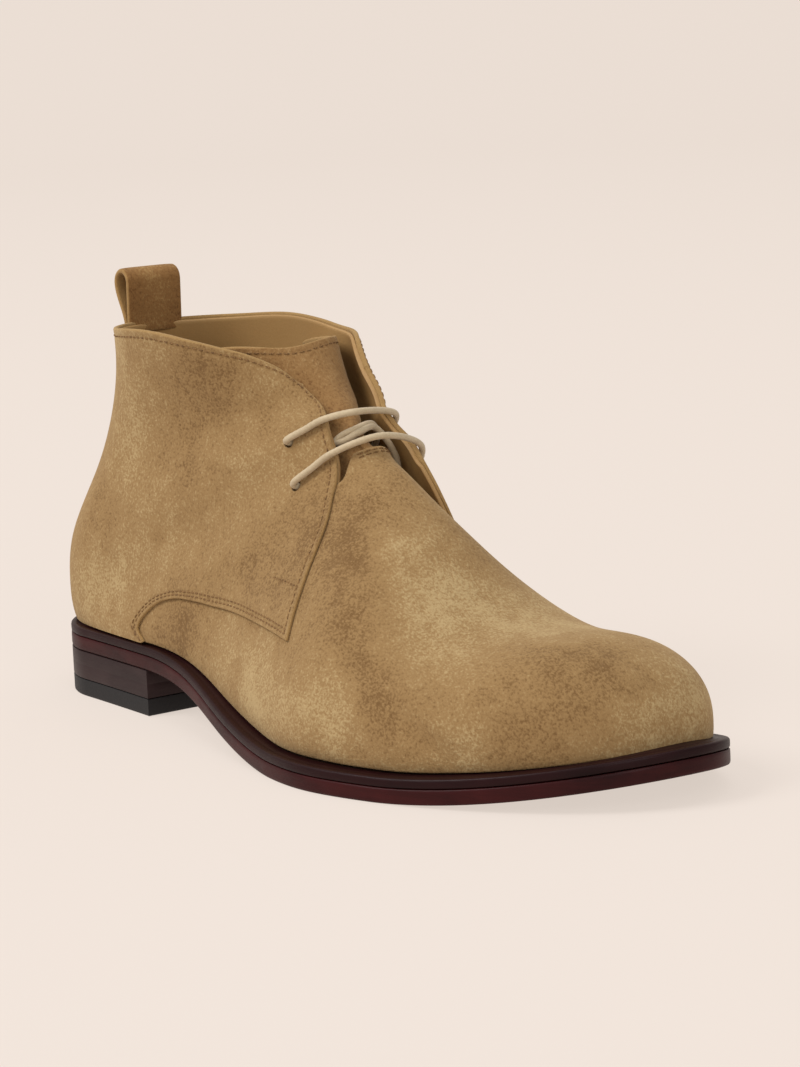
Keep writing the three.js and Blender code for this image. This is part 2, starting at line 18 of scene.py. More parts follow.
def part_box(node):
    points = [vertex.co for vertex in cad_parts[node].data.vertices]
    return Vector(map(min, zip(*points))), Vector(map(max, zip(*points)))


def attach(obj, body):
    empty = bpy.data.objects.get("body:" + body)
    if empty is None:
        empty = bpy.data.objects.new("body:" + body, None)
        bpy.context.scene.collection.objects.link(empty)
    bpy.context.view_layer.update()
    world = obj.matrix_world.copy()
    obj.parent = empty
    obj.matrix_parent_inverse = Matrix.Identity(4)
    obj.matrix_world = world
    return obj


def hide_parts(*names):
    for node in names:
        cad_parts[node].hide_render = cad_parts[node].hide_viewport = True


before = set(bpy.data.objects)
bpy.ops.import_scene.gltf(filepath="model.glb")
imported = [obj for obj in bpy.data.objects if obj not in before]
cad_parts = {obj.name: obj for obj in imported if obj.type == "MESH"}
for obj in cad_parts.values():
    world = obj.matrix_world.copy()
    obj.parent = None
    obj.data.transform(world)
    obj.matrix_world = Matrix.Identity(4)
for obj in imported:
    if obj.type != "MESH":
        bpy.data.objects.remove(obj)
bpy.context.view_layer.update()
print("frame nodes:", ", ".join(sorted(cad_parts)))

# %% [markdown]
# ## Tables and curves
# A last is described by a few cross-sections, as a last maker gives girths, and every width between
# them is read from a smooth curve. A natural cubic spline through a table does that: it passes
# through each row and bends as little as it can between them.

# %% Smooth curves through tables
def natural_spline(keys, rows):
    """Through every row, cubics whose slope and bend agree at each key, and no bend at the ends."""
    keys, rows = np.asarray(keys, float), np.asarray(rows, float)
    step = np.diff(keys)
    inner = np.arange(1, len(keys) - 1)
    system = np.eye(len(keys))
    system[inner, inner - 1] = step[:-1]
    system[inner, inner] = 2 * (step[:-1] + step[1:])
    system[inner, inner + 1] = step[1:]
    right = np.zeros_like(rows)
    right[1:-1] = 6 * np.diff(np.diff(rows, axis=0) / step[:, None], axis=0)
    bend = np.linalg.solve(system, right)

    def curve(key):
        key = np.asarray(key, float)
        i = np.clip(np.searchsorted(keys, key) - 1, 0, len(step) - 1)
        h = step[i][..., None]
        a = keys[i + 1][..., None] - key[..., None]
        b = key[..., None] - keys[i][..., None]
        return ((bend[i] * a**3 + bend[i + 1] * b**3) / (6 * h)
                + (rows[i] / h - bend[i] * h / 6) * a + (rows[i + 1] / h - bend[i + 1] * h / 6) * b)

    return curve


def smooth_columns(names, table):
    """A table as one function of its first column that gives the other columns by name."""
    table = np.array(table, float)
    curve = natural_spline(table[:, 0], table[:, 1:])
    columns = names.split()[1:]
    return lambda key: dict(zip(columns, np.moveaxis(curve(key), -1, 0)))


def ease(x):
    """0 below 0, 1 above 1, and 3x^2 - 2x^3 between."""
    x = np.clip(x, 0, 1)
    return x * x * (3 - 2 * x)


def eased(value, start, end):
    """ease, from 0 at start to 1 at end."""
    return ease((value - start) / (end - start))


def mix(a, b, share):
    """a + (b - a) share."""
    return a + (b - a) * share


def unit(vectors):
    """The same directions at length 1; a vector of no length stays as it is."""
    return vectors / np.maximum(np.linalg.norm(vectors, axis=-1, keepdims=True), 1e-12)


def running_length(line):
    """Length along a line up to each of its points, starting at 0."""
    return np.concatenate([[0], np.cumsum(np.linalg.norm(np.diff(line, axis=0), axis=1))])


def at_length(line, length, wanted):
    """A line's values where its running length reaches the wanted ones."""
    return np.stack([np.interp(wanted, length, column) for column in line.T], -1)


def root(f, low, high):
    """Where f changes sign between low and high, by halving the stretch forty times."""
    low, high = np.broadcast_arrays(np.asarray(low, float), np.asarray(high, float))
    sign = np.sign(f(low))
    for _ in range(40):
        middle = (low + high) / 2
        same = np.sign(f(middle)) == sign
        low, high = np.where(same, middle, low), np.where(same, high, middle)
    return (low + high) / 2


# %% [markdown]
# ## The sole's outline and the last
# The boot's form is its last. Each section of it lies in a plane that fans out about the instep: low
# numbers are level rings round the ankle, high ones stand upright across the toes. A section runs
# from a point at the back or underneath to one on the ridge, with its own half widths and roundness.

# %% Sizes of the sole and the form
SOLE_LENGTH = 302
OUTSOLE, WELT = 5, 3
HEEL_LIFT, TOP_PIECE = 15.8, 6
BREAST, BREAST_SLANT = 77.9, math.radians(-3.4)
TREAD = (185, 232)
TOE_SPRING, SPRING_POWER = 9.2, 1.8
HEEL_ROUND, TOE_ROUND, TOE_ROUND_POWER = 33, 228, 2.15
WALL = 1.8                  # from the form in to the inside of the boot
PROUD = 1.2                 # from the form out to the face of the quarters

FORM = smooth_columns("at backX backZ ridgeX ridgeZ outer inner widest round taper flat lean sway", [
    [0, 37.2, 152, 110, 151, 31.8, 31.8, 0.48, 2.1, 0, 2.1, 0, 0],
    [16, 35.6, 138, 117, 138.5, 30.9, 30.8, 0.46, 2.1, 0, 2.1, 1, 1],
    [40, 31.2, 116, 127, 123, 28.9, 28.8, 0.41, 2.05, 0.05, 2.1, 3, 3],
    [62, 21.2, 94, 136.5, 112.5, 27.4, 26.8, 0.34, 2, 0.12, 2.1, 4.4, 4.4],
    [84, 9.1, 70, 145, 106.6, 28, 26.2, 0.27, 2, 0.16, 2.1, 4.3, 3.8],
    [102, 0.8, 47, 152, 102.6, 30.8, 26, 0.22, 2, 0.18, 2.1, 2.5, 1.5],
    [114, 0.2, 30, 156.5, 100.1, 32.2, 27.5, 0.21, 2, 0.18, 2.1, 2.7, 1.2],
    [124, 5.2, 16, 160.5, 97.4, 32.9, 29.2, 0.22, 2, 0.18, 2.15, 3.5, 1.5],
    [132, 23, 11, 164, 95.3, 34.2, 29.5, 0.23, 2, 0.18, 2.25, 4.1, 1.6],
    [142, 48, 9.5, 168, 92.1, 35.3, 28.4, 0.245, 2, 0.18, 2.4, 4.1, 1.6],
    [158, 85, 7, 175.5, 88.2, 35.7, 24.9, 0.27, 2, 0.16, 2.7, 4.3, 1.3],
    [176, 125, 2, 186, 81.5, 41.9, 25.9, 0.29, 2, 0.12, 2.8, 4.8, 0.8],
    [194, 160, -2, 198.5, 72.7, 48.5, 32.7, 0.31, 2, 0.08, 2.8, 4.5, 0.5],
    [214, 192, -4, 212, 61.2, 53.1, 42, 0.33, 2, 0.05, 2.7, 4.3, 1.2],
    [232, 222, -4, 228, 50.3, 51.3, 45.8, 0.36, 2.1, 0.02, 2.7, 6, 4],
    [252, 247, -3, 248, 46.4, 47.2, 46, 0.38, 2.2, 0, 2.7, 8.6, 7.6],
    [272, 268, -1, 268, 47.8, 45.5, 45, 0.40, 2.3, 0, 2.7, 11.7, 11.7],
    [299, 295, 3, 295, 45, 47, 47, 0.42, 2.4, 0, 2.7, 17.2, 17.2],
])
FORM_END = 299
TOE_TIP_Z = 15
TOE_TIP_START, TOE_TIP_WIDTH = 226, 2.15        # section where the tip starts to close in, and the
TOE_TIP_TOP_START, TOE_TIP_HEIGHT = 234, 3      # power of its corner, in plan and then from the side

SOLE = smooth_columns("x outer inner centre", [
    [0, 33.5, 33.5, 0], [35, 33.5, 33.5, 0], [70, 34.5, 32, 0], [105, 37.3, 28.5, 0],
    [140, 45.3, 31, 0], [175, 52.3, 41, 0], [205, 55.9, 49.5, 1], [235, 52.6, 51, 5.1],
    [270, 48.2, 47.5, 11.6], [302, 44.7, 44, 18.2],
])
WELT_SHOWN_AT = (0, 80, 115, 160, 302)
WELT_SHOWN_OUTER = (1.8, 2.3, 4, 6, 6)
WELT_SHOWN_INNER = (1.8, 2.3, 2.6, 5.5, 6)


# %% The sole as functions
def closure(x, start, end, power):
    """(1 - t^power)^(1/power), where t runs 0..1 from start to end: a rounded corner."""
    return (1 - np.clip((x - start) / (end - start), 0, 1) ** power) ** (1 / power)


def sole_bottom(x):
    """Raised over the heel, an S-shaped arch down to the flat tread, then toe spring as a power."""
    arch = HEEL_LIFT * ease((TREAD[0] - x) / (TREAD[0] - BREAST))
    spring = TOE_SPRING * np.clip((x - TREAD[1]) / (SOLE_LENGTH - TREAD[1]), 0, 1) ** SPRING_POWER
    return arch + spring


def welt_top(x):
    """The outsole's underside plus the outsole and the welt."""
    return sole_bottom(x) + OUTSOLE + WELT


def outline_point(share, side):
    """x = L (1 - cos(pi share)) / 2; y = centre + side * half width, rounded at heel and toe."""
    x = SOLE_LENGTH * (1 - np.cos(np.pi * share)) / 2
    c = SOLE(x)
    heel = np.sqrt(1 - np.clip((HEEL_ROUND - x) / HEEL_ROUND, 0, 1) ** 2)
    toe = closure(x, TOE_ROUND, SOLE_LENGTH, TOE_ROUND_POWER)
    half = np.where(side < 0, c["outer"], c["inner"]) * toe * heel
    return np.stack([x, c["centre"] + side * half], -1)


LOOP_STATIONS = 440


def sole_loop(n=LOOP_STATIONS):
    """The outline once round: outer side from heel to toe, inner side back, with inward normals."""
    share = np.arange(n // 2) / (n // 2)
    line = np.concatenate([outline_point(share, -1.0), outline_point(1 - share, 1.0)])
    along = unit(np.roll(line, -1, 0) - np.roll(line, 1, 0))
    return line, np.stack([-along[:, 1], along[:, 0]], -1)


def welt_shown(x, inner):
    """How far the upper stands in from the welt's edge, straight between the table's places."""
    return np.where(inner, np.interp(x, WELT_SHOWN_AT, WELT_SHOWN_INNER),
                    np.interp(x, WELT_SHOWN_AT, WELT_SHOWN_OUTER))


# %% The form as a function
def form_point(at, angle):
    """Section at, turned by angle from the ridge over the outer side: a rounded box section whose
    height goes as |cos|^(2/p) and width as |sin|^(2/p), with p the section's roundness."""
    at, angle = np.broadcast_arrays(np.asarray(at, float), np.asarray(angle, float))
    c = FORM(at)
    wide = closure(at, TOE_TIP_START, FORM_END, TOE_TIP_WIDTH)
    high = closure(at, TOE_TIP_TOP_START, FORM_END, TOE_TIP_HEIGHT)
    ridge_z = mix(TOE_TIP_Z, c["ridgeZ"], high)
    back_z = mix(TOE_TIP_Z, c["backZ"], high)
    cos, sin = np.cos(angle), np.sin(angle)
    power = 2 / np.where(cos >= 0, c["round"], c["flat"])
    rise = np.abs(cos) ** power
    height = np.where(cos >= 0, c["widest"] + (1 - c["widest"]) * rise, c["widest"] * (1 - rise))
    spread = np.abs(sin) ** power * np.where(cos >= 0, 1 - c["taper"] * rise, 1)
    half = np.where(sin >= 0, -c["outer"], c["inner"]) * wide
    return np.stack([mix(c["backX"], c["ridgeX"], height),
                     mix(c["sway"], c["lean"], height) + half * spread,
                     mix(back_z, ridge_z, height)], -1)


def form_normal(at, angle):
    """The cross product of the form's slopes round and along, of length 1."""
    step = 1e-3
    along = form_point(np.minimum(at + step, FORM_END), angle) - form_point(at - step, angle)
    around = form_point(at, angle + step) - form_point(at, angle - step)
    return unit(np.cross(around, along))


def off_form(at, angle, offset):
    """The form moved out along its normal."""
    at, angle, offset = np.broadcast_arrays(*[np.asarray(v, float) for v in (at, angle, offset)])
    return form_point(at, angle) + form_normal(at, angle) * offset[..., None]


FEATHER_RISE = 1.0


def above_feather(at, angle):
    """Height over the line where the upper meets the welt."""
    p = form_point(at, angle)
    return p[..., 2] - welt_top(p[..., 0]) - FEATHER_RISE


def feather_angle(at, side):
    """The angle at which a section comes down to the welt, on side -1 (outer) or 1."""
    at = np.asarray(at, float)
    return root(lambda angle: above_feather(at, -side * angle), np.zeros_like(at), np.full_like(at, np.pi))


def feather_section(angle):
    """The section that meets the welt at this angle round the heel."""
    angle = np.asarray(angle, float)
    return root(lambda at: above_feather(at, angle), np.full_like(angle, 100), np.full_like(angle, 150))


VAMP_END = float(root(lambda at: above_feather(at, 0.0), 285.0, float(FORM_END)))

# %% Where the millimetres lie in the frame
FRAME_STATIONS = 72
frame_line, _ = sole_loop(FRAME_STATIONS)
outsole_low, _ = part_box("outsole")
SHIFT = np.array([outsole_low.x * 1000, outsole_low.y * 1000 - frame_line[:, 1].min(), 0.0])
print("shift into the frame, mm:", np.round(SHIFT, 2), " vamp ends at section", round(VAMP_END, 1))


def to_frame(points):
    """Millimetres from the back of the sole to the frame's metres."""
    return (np.asarray(points, float) + SHIFT) / 1000


# %% [markdown]
# ## Camera
# The camera stands in front of the boot's outer side, a little above the welt, and is rolled by a
# few degrees. It is set before anything is made.

# %% Camera
CAMERA_AZIMUTH, CAMERA_HEIGHT, CAMERA_ROLL = math.radians(57.51), math.radians(9.5), math.radians(2.6)
CAMERA_DISTANCE = 1156.9
CAMERA_ABOUT = np.array([140.0, 0.0, 60.0])
CAMERA_AIM = np.array([152.0, 19.9, 63.3])
LENS_MM = 121


def place_camera():
    """Eye = about + distance (sin a cos e, -cos a cos e, sin e), looking at the boot's middle."""
    toward = Vector((math.sin(CAMERA_AZIMUTH) * math.cos(CAMERA_HEIGHT),
                     -math.cos(CAMERA_AZIMUTH) * math.cos(CAMERA_HEIGHT), math.sin(CAMERA_HEIGHT)))
    eye = Vector(to_frame(CAMERA_ABOUT)) + toward * CAMERA_DISTANCE / 1000
    aim = Vector(to_frame(CAMERA_AIM))
    look = (aim - eye).to_track_quat("-Z", "Y").to_matrix().to_4x4()
    data = bpy.data.cameras.new("camera")
    data.lens, data.sensor_width = LENS_MM, 36
    data.clip_start, data.clip_end = 0.05, 30
    camera = bpy.data.objects.new("camera", data)
    bpy.context.scene.collection.objects.link(camera)
    camera.matrix_world = Matrix.Translation(eye) @ look @ Matrix.Rotation(-CAMERA_ROLL, 4, "Z")
    bpy.context.scene.camera = camera
    return camera


camera = place_camera()
print("camera at", [round(v, 3) for v in camera.matrix_world.translation])

# %% [markdown]
# ## From grids to leather
# A pattern piece is a sheet with a face, a flesh side and a cut edge. It could be a single surface
# with a Solidify modifier, but then the cut edge could not be rounded or told apart from the face.
# Here the face and the flesh side are two grids with a narrow rounded rim between them, and every
# point carries two numbers for the finishes: 1 where it is not on the face, which is where the hide
# is cut, and a tone: how light the nap is brushed there, with painted shade in the troughs of the
# creases and painted highlights on the raised ones.

# %% Meshes
SMOOTH_BELOW = math.radians(50)
MERGE_WITHIN, DEGENERATE_BELOW = 2e-6, 1e-7      # in metres


def build_mesh(name, points, faces, numbers=None):
    """Points and four-cornered faces to one mesh: doubles merged, faces turned outwards."""
    mesh = bpy.data.meshes.new(name)
    mesh.vertices.add(len(points))
    mesh.vertices.foreach_set("co", to_frame(points).ravel())
    mesh.loops.add(faces.size)
    mesh.loops.foreach_set("vertex_index", faces.ravel().astype(np.int32))
    mesh.polygons.add(len(faces))
    mesh.polygons.foreach_set("loop_start", np.arange(0, faces.size, 4, dtype=np.int32))
    for key, values in (numbers or {}).items():
        carried = mesh.attributes.new(key, "FLOAT", "POINT")
        carried.data.foreach_set("value", np.asarray(values, float).ravel())
    mesh.update(calc_edges=True)
    work = bmesh.new()
    work.from_mesh(mesh)
    bmesh.ops.remove_doubles(work, verts=work.verts, dist=MERGE_WITHIN)
    bmesh.ops.dissolve_degenerate(work, edges=work.edges, dist=DEGENERATE_BELOW)
    bmesh.ops.recalc_face_normals(work, faces=work.faces)
    work.to_mesh(mesh)
    work.free()
    mesh.shade_smooth()
    mesh.set_sharp_from_angle(angle=SMOOTH_BELOW)
    return mesh


def add_piece(name, mesh, finish, slot, *nodes):
    """Puts a finished mesh into the scene, on the boot's one body, standing for its nodes."""
    piece = bpy.data.objects.new(name, mesh)
    bpy.context.scene.collection.objects.link(piece)
    mesh.materials.clear()
    mesh.materials.append(finish)
    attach(piece, "root")
    if nodes:
        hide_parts(*nodes)
    print(f"{name}: {len(mesh.vertices)} points, {len(mesh.polygons)} faces")


def grid_faces(rows, columns, wrap_rows=False, wrap_columns=False):
    """The four-cornered faces of a grid whose points are numbered row by row."""
    i = np.arange(rows if wrap_rows else rows - 1)[:, None]
    j = np.arange(columns if wrap_columns else columns - 1)[None, :]
    k, l = (i + 1) % rows, (j + 1) % columns
    corners = [i * columns + j, k * columns + j, k * columns + l, i * columns + l]
    return np.stack([np.broadcast_to(c, (i.size, j.size)) for c in corners], -1).reshape(-1, 4)


RIM_STEPS = 4
RIM_BULGE = 0.35


def border(grid):
    """The points round a grid's border, once round."""
    return np.concatenate([grid[:-1, 0], grid[-1, :-1], grid[:0:-1, -1], grid[0, :0:-1]])


def leather_sheet(face, flesh, numbers=None):
    """Two grids joined by a rim. Across the rim a point goes from the face to the flesh side as
    cos t and swells out of the edge by RIM_BULGE times the thickness as sin t, t = 0..pi."""
    rows, columns = face.shape[:2]
    top, low = border(face), border(flesh)
    within = border(np.pad(face[1:-1, 1:-1], ((1, 1), (1, 1), (0, 0)), mode="edge"))
    out = unit(top - within)
    thick = np.linalg.norm(top - low, axis=1, keepdims=True)
    turn = np.pi * np.arange(1, RIM_STEPS) / RIM_STEPS
    middle, half = (top + low) / 2, (top - low) / 2
    rim = [middle + half * math.cos(t) + out * thick * RIM_BULGE * math.sin(t) for t in turn]
    points = np.concatenate([face.reshape(-1, 3), flesh.reshape(-1, 3), *rim])
    size = rows * columns
    index = np.arange(size).reshape(rows, columns)
    strips = [border(index), *[2 * size + k * len(top) + np.arange(len(top)) for k in range(RIM_STEPS - 1)],
              border(index) + size]
    faces = [grid_faces(rows, columns), grid_faces(rows, columns)[:, ::-1] + size]
    for a, b in zip(strips, strips[1:]):
        faces.append(np.stack([a, b, np.roll(b, -1), np.roll(a, -1)], -1))
    rim_count = len(points) - 2 * size
    made = {"cut": np.concatenate([np.zeros(size), np.ones(size), np.ones(rim_count)])}
    for key, values in (numbers or {}).items():
        flat = values.reshape(-1)
        made[key] = np.concatenate([flat, flat, np.tile(border(values), RIM_STEPS - 1)])
    return points, np.concatenate(faces), made


# %% Distances on a grid
def lengths_along(grid, axis):
    """Running length of each grid line along an axis, starting at 0."""
    step = np.linalg.norm(np.diff(grid, axis=axis), axis=-1)
    pad = [(0, 0), (0, 0)]
    pad[axis] = (1, 0)
    return np.cumsum(np.pad(step, pad), axis=axis)


def distance_to_lines(points, lines):
    """Shortest distance from each point to a set of points that stand close along some lines."""
    flat = points.reshape(-1, 3)
    nearest = np.concatenate([
        np.sqrt(((part[:, None, :] - lines[None, :, :]) ** 2).sum(-1).min(1))
        for part in np.array_split(flat, max(1, len(flat) // 2000))
    ])
    return nearest.reshape(points.shape[:-1])


def graded(n, at_ends):
    """0..1 in n steps that are finer at both ends: t - k sin(2 pi t) / (2 pi)."""
    t = np.linspace(0, 1, n + 1)
    return t - (1 - at_ends) * np.sin(2 * np.pi * t) / (2 * np.pi)


# %% [markdown]
# ## Brushed patches with painted shade and highlights, and creases
# Suede shows where a hand has brushed it: the nap lies light one way and dark the other. The patches
# are listed each at a section and an angle of the last, with a radius and how light or dark it is.
# Besides the nap's mottle, the dark patches along a crease's trough are painted shade and the light
# ones along a raised crease are painted highlights. The boot has been flexed a little, so a few soft
# troughs run down over the joint of the toes, each from one place on the last to another.

# %% Patches and creases
# Besides the nap's mottle, dark patches along the creases' troughs are painted shade and light ones along
# the raised creases painted highlights.
PATCHES = np.array([
    # section, angle, radius, tone
    [229, 1.03, 11, -0.9], [238, 1.2, 10, -0.8], [250, 1.45, 9, -0.7], [214, 0.86, 12, -0.7],
    [222, 0.92, 10, -0.6], [233, 0.9, 8, 0.5], [246, 1.22, 8, 0.6], [262, 1.52, 9, 0.9],
    [183, 1.55, 9, 0.8], [190, 1.6, 8, 0.6], [288, 0.65, 13, -0.9], [274, 0.99, 16, -0.6],
    [286, 0.2, 12, -0.5], [297, 1.2, 12, 0.8], [296, 5.6, 12, 0.6], [238, 0.2, 18, 0.6],
    [252, 6.2, 16, 0.5], [204, 0.2, 16, 0.5], [218, 0.3, 14, 0.6], [171, 0.5, 13, -1.0],
    [183, 0.71, 12, -0.7], [200, 0.8, 12, -0.5], [124, 0.68, 22, 0.4], [117, 1.46, 20, 0.7],
    [61, 1.68, 18, 0.7], [33, 2.06, 10, 1.0], [123, 1.19, 18, 0.35], [122, 1.55, 14, 0.6],
    [100, 1.5, 14, -0.6], [50, 0.92, 16, -0.6], [176, 1.12, 12, -0.6], [160, 1.16, 12, -0.5],
    [164, 0.86, 14, -0.5], [72, 0.36, 12, -0.5], [85, 1.1, 18, -0.35], [168, 1.47, 12, 0.4],
    [200, 1.6, 14, 0.6], [221, 1.41, 16, 0.6], [225, 0.7, 14, 0.3], [148, 1.5, 12, -0.6],
    [198, 1.22, 12, -0.5], [223, 1.85, 12, -0.5], [274, 1.85, 14, -0.5], [292, 1.84, 12, -0.4],
    [230, 5.2, 16, -0.6], [205, 5.0, 18, 0.5], [262, 5.0, 16, -0.5], [180, 5.1, 18, -0.4],
    [120, 5.0, 22, 0.4], [60, 4.6, 20, -0.4], [100, 3.6, 18, 0.5], [50, 3.2, 14, -0.4],
])
CREASES = [
    # from (section, angle) to (section, angle), depth and width in mm
    ((226, 0.95), (259, 1.66), 1.35, 4.6),
    ((231, 0.84), (262, 1.50), -0.7, 5.0),
    ((209, 0.80), (231, 1.12), 0.9, 5.5),
    ((214, 1.25), (236, 1.62), 0.35, 4.5),
    ((222, 5.45), (246, 4.75), 0.7, 5.0),
    ((208, 5.50), (230, 4.90), 0.45, 5.0),
    ((232, 5.30), (255, 4.80), -0.35, 5.0),
    ((116, 1.20), (139, 1.02), 0.8, 6.0),
    ((92, 1.55), (112, 1.30), 0.6, 7.0),
    ((118, 5.10), (140, 5.28), 0.5, 6.0),
    ((96, 4.60), (112, 4.95), 0.4, 7.0),
    ((86, 2.75), (92, 2.25), 0.35, 7.0),
]
CREASE_POINTS = 24


# The tone of the listed patches: brushed nap, with painted shade in the creases' troughs and painted
# highlights on the raised creases.
def nap_and_shade_tone(points):
    """The sum of every patch's tone times exp(-(distance / radius)^2)."""
    tone = np.zeros(points.shape[:-1])
    for at, angle, radius, strength in PATCHES:
        away = ((points - form_point(at, angle)) ** 2).sum(-1)
        tone += strength * np.exp(-away / radius**2)
    return tone


def crease_depth(points):
    """The sum of every trough: its depth times exp(-(distance / width)^2), fading to its ends."""
    depth = np.zeros(points.shape[:-1])
    share = np.linspace(0, 1, CREASE_POINTS)
    for (at0, angle0), (at1, angle1), deep, wide in CREASES:
        line = form_point(mix(at0, at1, share), mix(angle0, angle1, share))
        fade = np.sin(np.pi * np.clip(share * 0.9 + 0.05, 0, 1))
        away = ((points[..., None, :] - line) ** 2).sum(-1)
        depth += deep * (np.exp(-away / wide**2) * fade).max(-1)
    return depth


# %% [markdown]
# ## The cut of the quarters
# The two quarters wrap the ankle from one facing round the back to the other. Their edges are curves
# on the last: the collar, the front edge of each facing, the curved side seam and the line along the
# welt. A Coons patch fills them in: two blends between opposite edges, less one between the corners.

# %% Edges of the quarters
COLLAR = [(61, 0.29), (49, 0.40), (41, 0.59), (36, 0.82), (32, 1.07), (28, 1.44), (28.5, 2.18)]
INNER_COLLAR = [(61, 0.38), (47, 0.45), (40, 0.54), (37, 0.65), (35, 0.77), (32.5, 0.99), (30, 1.21),
                (28, 1.53), (28.5, 2.27)]
COLLAR_BACK = 28.5
FACING = [(61, 0.29), (82, 0.24), (94, 0.23), (115, 0.29), (129, 0.35), (144, 0.44), (155, 0.56),
          (167, 0.71), (178, 0.92), (191, 1.21)]
INNER_FACING = [(61, 0.38), (82, 0.33), (94, 0.32), (115, 0.37), (129, 0.40), (144, 0.41), (155, 0.44),
                (167, 0.52), (178, 0.70), (186, 0.95), (191, 1.21)]
SIDE_SEAM = [(191, 1.21), (181, 1.25), (167, 1.31), (155, 1.35), (147, 1.36), (141, 1.38),
             (138, 1.43), (138, 1.51), (140, 1.60)]
SEAM_FOOT, HEEL_SECTION = 144, 122
EYELETS = [(107, 0.52), (135, 0.63)]            # upper, lower
INNER_EYELETS = [(120, 0.63), (142, 0.66)]      # the inner quarter sits lower
EYELET_RADIUS = 2.0
TURN = 2 * np.pi
FLARE = 9.5                                     # how far the inner facing stands off the tongue
FLARE_FULL_TO, FLARE_LONG, FLARE_POWER = 96, 98, 2.6
FLARE_ROUND, FLARE_ENDS_AT = 1.25, 1.6          # how far round the ankle it reaches, in radians


def facing_angle(at):
    """The angle of the outer facing's front edge at a section."""
    return np.interp(at, [row[0] for row in FACING], [row[1] for row in FACING])


def inner_facing(at):
    """The same for the inner facing, whose upper part lies a little further round and whose foot
    bends in under the lace."""
    return np.interp(at, [row[0] for row in INNER_FACING], [row[1] for row in INNER_FACING])


def flare(at, angle):
    """How far the inner facing stands off: full at its edge, easing to nothing round the ankle
    and towards its foot."""
    at, angle = np.broadcast_arrays(np.asarray(at, float), np.asarray(angle, float))
    around = TURN - np.mod(angle + TURN, TURN)
    edge = inner_facing(at)
    reach = np.minimum(FLARE_ROUND, FLARE_ENDS_AT - edge)
    lift = FLARE * (1 - np.clip((at - FLARE_FULL_TO) / FLARE_LONG, 0, 1) ** FLARE_POWER)
    lifted = lift * (1 - ease((around - edge) / np.maximum(reach, 0.01)))
    return np.where((np.sin(angle) < 0) & (reach > 0.01), lifted, 0.0)


def under_flare(at, angle):
    """What lies under the inner facing rises towards it from the middle of the throat on."""
    return flare(at, np.minimum(angle, -0.01)) * ease((0.25 - angle) / 0.9)


def catmull_rom(points, samples):
    """Centripetal Catmull-Rom through the points: each stretch is a cubic whose end slopes come
    from its neighbours, weighted by the square roots of the gaps."""
    points = np.asarray(points, float)
    ends = [2 * points[0] - points[1], 2 * points[-1] - points[-2]]
    p = np.concatenate([ends[:1], points, ends[1:]])
    gap = np.maximum(np.linalg.norm(np.diff(p, axis=0), axis=1) ** 0.5, 1e-6)
    s = np.linspace(0, len(points) - 1, samples)
    i = np.minimum(s.astype(int), len(points) - 2)
    w = (s - i)[:, None]
    d0, d1, d2 = gap[i][:, None], gap[i + 1][:, None], gap[i + 2][:, None]
    p0, p1, p2, p3 = p[i], p[i + 1], p[i + 2], p[i + 3]
    start = ((p1 - p0) / d0 - (p2 - p0) / (d0 + d1) + (p2 - p1) / d1) * d1
    end = ((p2 - p1) / d1 - (p3 - p1) / (d1 + d2) + (p3 - p2) / d2) * d1
    return (p1 * (2 * w**3 - 3 * w**2 + 1) + start * (w**3 - 2 * w**2 + w)
            + p2 * (3 * w**2 - 2 * w**3) + end * (w**3 - w**2))


ANGLE_WEIGHT = 40
EDGE_SAMPLES = 800


def curve_through(places, samples):
    """A smooth line of (section, angle) through a few, a radian weighing as much as 40 sections."""
    weight = np.array([1, ANGLE_WEIGHT])
    return catmull_rom(np.array(places) * weight, samples) / weight


def edge_curve(places):
    """A curve on the form through (section, angle) places, paced evenly by its length in space.
    Also gives the share at which the nth place is reached."""
    line = curve_through(places, EDGE_SAMPLES)
    path = form_point(line[:, 0], line[:, 1])
    length = running_length(path)
    knots = np.linspace(0, len(places) - 1, EDGE_SAMPLES)

    def curve(share):
        return at_length(line, length, share * length[-1])

    return curve, lambda n: float(np.interp(n, knots, length) / length[-1])


def mirrored(places):
    """The same places on the inner side, in the other order."""
    return [(at, TURN - angle) for at, angle in reversed(places)]


def heel_line(side):
    """Along the welt from the foot of a side seam to the back of the heel."""
    places = [(float(at), float(feather_angle(at, side))) for at in range(SEAM_FOOT, HEEL_SECTION, -4)]
    last = float(feather_angle(HEEL_SECTION, side))
    for i in range(3):
        angle = mix(last, math.pi, i / 3)
        places.append((float(feather_section(angle)), angle))
    return places


top_edge, _ = edge_curve([*COLLAR, (COLLAR_BACK, math.pi), *mirrored(INNER_COLLAR)])
low_edge, low_share = edge_curve([*SIDE_SEAM, *heel_line(-1), (float(feather_section(math.pi)), math.pi),
                                  *mirrored(heel_line(1)), *mirrored(SIDE_SEAM)])
outer_edge, _ = edge_curve(FACING[::-1])
inner_edge, _ = edge_curve(mirrored(INNER_FACING))
SEAM_SHARE = low_share(len(SIDE_SEAM))
print("the side seam takes", round(SEAM_SHARE, 3), "of the quarters' lower edge")


def quarter_place(u, v):
    """Coons patch: (section, angle) for u from the outer facing round the back to the inner one
    and v from the side seams and the welt up to the collar."""
    u, v = np.broadcast_arrays(u, v)
    low, top, left, right = low_edge(u), top_edge(u), outer_edge(v), inner_edge(v)
    u, v = u[..., None], v[..., None]
    corners = [curve(np.array(share)) for curve in (low_edge, top_edge) for share in (0.0, 1.0)]
    return (mix(low, top, v) + mix(left, right, u)
            - mix(mix(corners[0], corners[1], u), mix(corners[2], corners[3], u), v))


def vamp_back(spread):
    """Section of the vamp's back edge: up to the tongue in the middle, cut away under the facings
    and running back under the quarters at the sides. spread is 0 at the ridge, 1 at the welt."""
    return 134 + 14 * ease((spread - 0.12) / 0.14) * (1 - ease((spread - 0.45) / 0.2))


